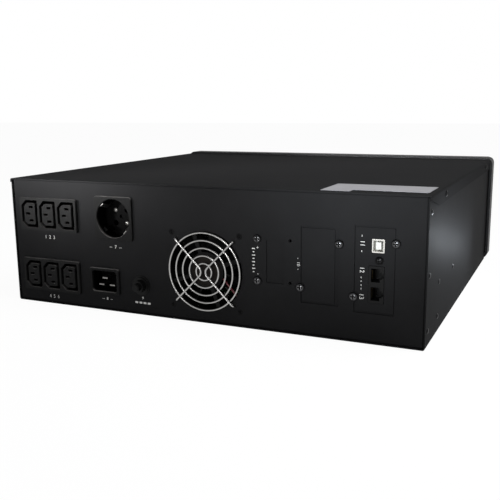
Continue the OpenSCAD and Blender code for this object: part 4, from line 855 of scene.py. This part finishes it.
class SUPPLY_OT_marks(Operator):
    """Print plain numbers and signs beside the sockets"""

    bl_idname = "supply.marks"
    bl_label = "Marks"

    def execute(self, context):
        size = details().numeral
        # Name, words, height, place to the right of the middle, place above the floor, turn in degrees
        legends = (
            ("outlets_upper", "1  2  3", size, -171.7, 70.9, 0),
            ("outlets_lower", "4  5  6", size, -170.8, 7.4, 0),
            ("wall_socket", "--  7  --", size, -90.0, 66.3, 0),
            ("inlet", "--  8  --", size * 0.85, -103.0, 12.0, 0),
            ("breaker", "9", size * 0.8, -60.4, 16.9, 0),
            ("option_slot", "-  10  -", size * 0.8, 104.0, 65.5, -90),
            ("usb", "-  11  -", size * 1.1, 162.0, 88.2, -90),
            ("jacks", "12  - - - -  13", size * 1.1, 162.0, 53.5, -90),
        )
        for name, words, height, u, v, turn in legends:
            printed_text(words, height, rear_place(u, v), rear_turn(turn), "legend_" + name)
        self.print_reset_row()
        self.print_cell_sign()
        return {"FINISHED"}

    def print_reset_row(self):
        """Row of strokes under the breaker's number."""
        first_u = -67.8
        row_v = 12.0
        pitch = 4.8
        stroke = (3.4 * MM, 2.0 * MM)
        for step in range(4):
            place = rear_place(first_u + step * pitch, row_v)
            printed_bar(stroke, place, REAR_TURN, f"legend_reset_{step}")

    def print_cell_sign(self):
        """Long and short strokes of a battery sign beside the battery port, with its poles."""
        stroke_u = 60.6
        pole_u = 64.8
        first_v = 54.6
        pitch = 3.1
        width = 1.0 * MM
        long_stroke = 3.0 * MM
        short_stroke = 1.8 * MM
        for step in range(8):
            length = long_stroke if step % 2 else short_stroke
            place = rear_place(stroke_u, first_v + step * pitch)
            printed_bar((length, width), place, REAR_TURN, f"legend_cell_{step}")
        for name, words, v in (("plus", "+", 77.2), ("minus", "-", 53.3)):
            printed_text(words, details().numeral, rear_place(pole_u, v), REAR_TURN, "legend_" + name)


class SUPPLY_OT_stage(Operator):
    """Lay the floor, hang the lamps and place the camera"""

    bl_idname = "supply.stage"
    bl_label = "Stage"

    def execute(self, context):
        stage = context.scene.supply_stage
        self.lay_floor(stage)
        self.paint_sky(stage)
        self.hang_lamps(stage)
        self.place_camera(stage)
        context.scene.view_settings.view_transform = "Standard"
        return {"FINISHED"}

    def seen_directly(self, tree):
        """1 for what the camera sees straight on, in a mirror or through glass."""
        rays = tree.nodes.new("ShaderNodeLightPath")
        total = None
        for ray in ("Is Camera Ray", "Is Glossy Ray", "Is Transmission Ray"):
            if total is None:
                total = rays.outputs[ray]
                continue
            larger = tree.nodes.new("ShaderNodeMath")
            larger.operation = "MAXIMUM"
            tree.links.new(total, larger.inputs[0])
            tree.links.new(rays.outputs[ray], larger.inputs[1])
            total = larger.outputs[0]
        return total

    def lay_floor(self, stage):
        """Pale floor that shows nearly white and keeps a faint shadow."""
        bpy.ops.object.select_all(action="DESELECT")
        bpy.ops.mesh.primitive_plane_add(size=stage.floor_size, location=(0, 0, 0))
        floor = bpy.context.object
        floor.name = "floor"
        material, tree, shader = blank_material("floor", 0.9, gloss=0.0)
        shader.inputs["Base Color"].default_value = (*stage.floor_tone, 1.0)
        glow = tree.nodes.new("ShaderNodeEmission")
        glow.inputs["Strength"].default_value = stage.floor_white
        share = tree.nodes.new("ShaderNodeMath")
        share.operation = "MULTIPLY"
        share.inputs[1].default_value = stage.floor_glow
        tree.links.new(self.seen_directly(tree), share.inputs[0])
        mix = tree.nodes.new("ShaderNodeMixShader")
        tree.links.new(share.outputs[0], mix.inputs["Fac"])
        tree.links.new(shader.outputs[0], mix.inputs[1])
        tree.links.new(glow.outputs[0], mix.inputs[2])
        tree.links.new(mix.outputs[0], tree.nodes["Material Output"].inputs["Surface"])
        floor.data.materials.append(material)

    def paint_sky(self, stage):
        """Surroundings that are white near the floor and grey overhead."""
        white_below = math.radians(9)
        grey_above = math.radians(24)
        world = bpy.data.worlds.new("studio")
        world.use_nodes = True
        tree = world.node_tree
        place = tree.nodes.new("ShaderNodeTexCoord")
        split = tree.nodes.new("ShaderNodeSeparateXYZ")
        rise = tree.nodes.new("ShaderNodeMapRange")
        rise.interpolation_type = "SMOOTHSTEP"
        rise.inputs["From Min"].default_value = math.sin(white_below)
        rise.inputs["From Max"].default_value = math.sin(grey_above)
        tree.links.new(place.outputs["Generated"], split.inputs[0])
        tree.links.new(split.outputs["Z"], rise.inputs["Value"])
        colour = mixed_colour(tree, rise.outputs["Result"], tuple(stage.sky_low), tuple(stage.sky_high))
        tree.links.new(colour, tree.nodes["Background"].inputs["Color"])
        tree.links.new(mapped(tree, self.seen_directly(tree), stage.ambient, 1.0),
                       tree.nodes["Background"].inputs["Strength"])
        bpy.context.scene.world = world

    def aim_lamp(self, lamp, name, power, aim, colour):
        """Names a lamp, sets its light and turns it to a point."""
        lamp.name = name
        lamp.visible_camera = False
        lamp.data.energy = power
        lamp.data.color = colour
        lamp.rotation_mode = "QUATERNION"
        lamp.rotation_quaternion = (Vector(aim) - lamp.location).to_track_quat("-Z", "Y")

    def hang_strip(self, name, power, size, fan_out, place, aim, colour=(1, 1, 1), roll=0.0):
        """Long lamp of a width and height, whose light fans out over an angle in degrees."""
        bpy.ops.object.select_all(action="DESELECT")
        bpy.ops.object.light_add(type="AREA", location=place)
        lamp = bpy.context.object
        lamp.data.shape = "RECTANGLE"
        lamp.data.size, lamp.data.size_y = size
        lamp.data.spread = math.radians(fan_out)
        self.aim_lamp(lamp, name, power, aim, colour)
        lamp.rotation_quaternion = lamp.rotation_quaternion @ Quaternion((0, 0, 1), roll)

    def hang_spot(self, name, power, beam, soft, place, aim, colour=(1, 1, 1)):
        """Round lamp of radius soft whose beam, given in degrees, fades from its middle to its edge."""
        bpy.ops.object.select_all(action="DESELECT")
        bpy.ops.object.light_add(type="SPOT", location=place)
        lamp = bpy.context.object
        lamp.data.spot_size = math.radians(beam)
        lamp.data.spot_blend = 1.0
        lamp.data.shadow_soft_size = soft
        self.aim_lamp(lamp, name, power, aim, colour)

    def hang_lamps(self, stage):
        """A lamp overhead, a strip and two spots on the rear panel, and a tube along the side wall."""
        self.hang_strip("top_lamp", stage.top_power, (0.6, 0.6), 180,
                        place=(-0.50, 0.15, 0.95), aim=(-0.1, 0.1, 0.13))
        self.hang_strip("key_lamp", stage.key_power, (0.6, 0.06), 22,
                        place=(0.02, 1.0, 0.20), aim=(0.0, 0.2, 0.155))
        self.hang_spot("corner_lamp", stage.corner_power, 15, 0.05,
                       place=(0.62, 0.85, 0.22), aim=(0.155, 0.2, 0.185))
        self.hang_spot("right_lamp", stage.right_power, 19, 0.05,
                       place=(-0.26, 0.95, 0.25), aim=(-0.16, 0.2, 0.17), colour=stage.cool)
        self.hang_strip("side_lamp", stage.side_power, (0.24, 0.02), 180,
                        place=(-0.252, 0.07, 0.071), aim=(-0.2176, 0.07, 0.071), colour=stage.cool,
                        roll=math.radians(-13))

    def place_camera(self, stage):
        """Camera at the viewing angle, a little rolled."""
        data = bpy.data.cameras.new("camera")
        camera = bpy.data.objects.new("camera", data)
        bpy.context.scene.collection.objects.link(camera)
        place = Vector(stage.camera_place)
        look = (Vector(stage.camera_aim) - place).to_track_quat("-Z", "Y")
        camera.rotation_mode = "QUATERNION"
        camera.rotation_quaternion = look @ Quaternion((0, 0, 1), stage.camera_roll)
        camera.location = place
        data.sensor_width = 36.0
        data.lens = stage.lens
        data.clip_start = 0.01
        bpy.context.scene.camera = camera


class SUPPLY_PT_sidebar(Panel):
    """Buttons that dress the power supply"""

    bl_idname = "SUPPLY_PT_sidebar"
    bl_label = "Power supply"
    bl_space_type = "VIEW_3D"
    bl_region_type = "UI"
    bl_category = "Power supply"

    def draw(self, context):
        column = self.layout.column()
        for step in STEPS:
            column.operator(step.bl_idname)
        scene = context.scene
        for settings in (scene.supply_finishes, scene.supply_details, scene.supply_stage):
            for title in settings.__annotations__:
                column.prop(settings, title)


SETTINGS = (FinishSettings, DetailSettings, StageSettings)
STEPS = (SUPPLY_OT_stage, SUPPLY_OT_finishes, SUPPLY_OT_case, SUPPLY_OT_sockets, SUPPLY_OT_jacks,
         SUPPLY_OT_screws, SUPPLY_OT_fan, SUPPLY_OT_controls, SUPPLY_OT_marks)


def register():
    for cls in SETTINGS + STEPS + (SUPPLY_PT_sidebar,):
        bpy.utils.register_class(cls)
    bpy.types.Scene.supply_finishes = PointerProperty(type=FinishSettings)
    bpy.types.Scene.supply_details = PointerProperty(type=DetailSettings)
    bpy.types.Scene.supply_stage = PointerProperty(type=StageSettings)


def unregister():
    del bpy.types.Scene.supply_finishes
    del bpy.types.Scene.supply_details
    del bpy.types.Scene.supply_stage
    for cls in reversed(SETTINGS + STEPS + (SUPPLY_PT_sidebar,)):
        bpy.utils.unregister_class(cls)


def main():
    """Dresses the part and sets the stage."""
    register()
    bpy.ops.supply.stage()
    bpy.ops.supply.finishes()
    bpy.ops.supply.case()
    bpy.ops.supply.sockets()
    bpy.ops.supply.jacks()
    bpy.ops.supply.screws()
    bpy.ops.supply.fan()
    bpy.ops.supply.controls()
    bpy.ops.supply.marks()


if __name__ == "__main__":
    main()
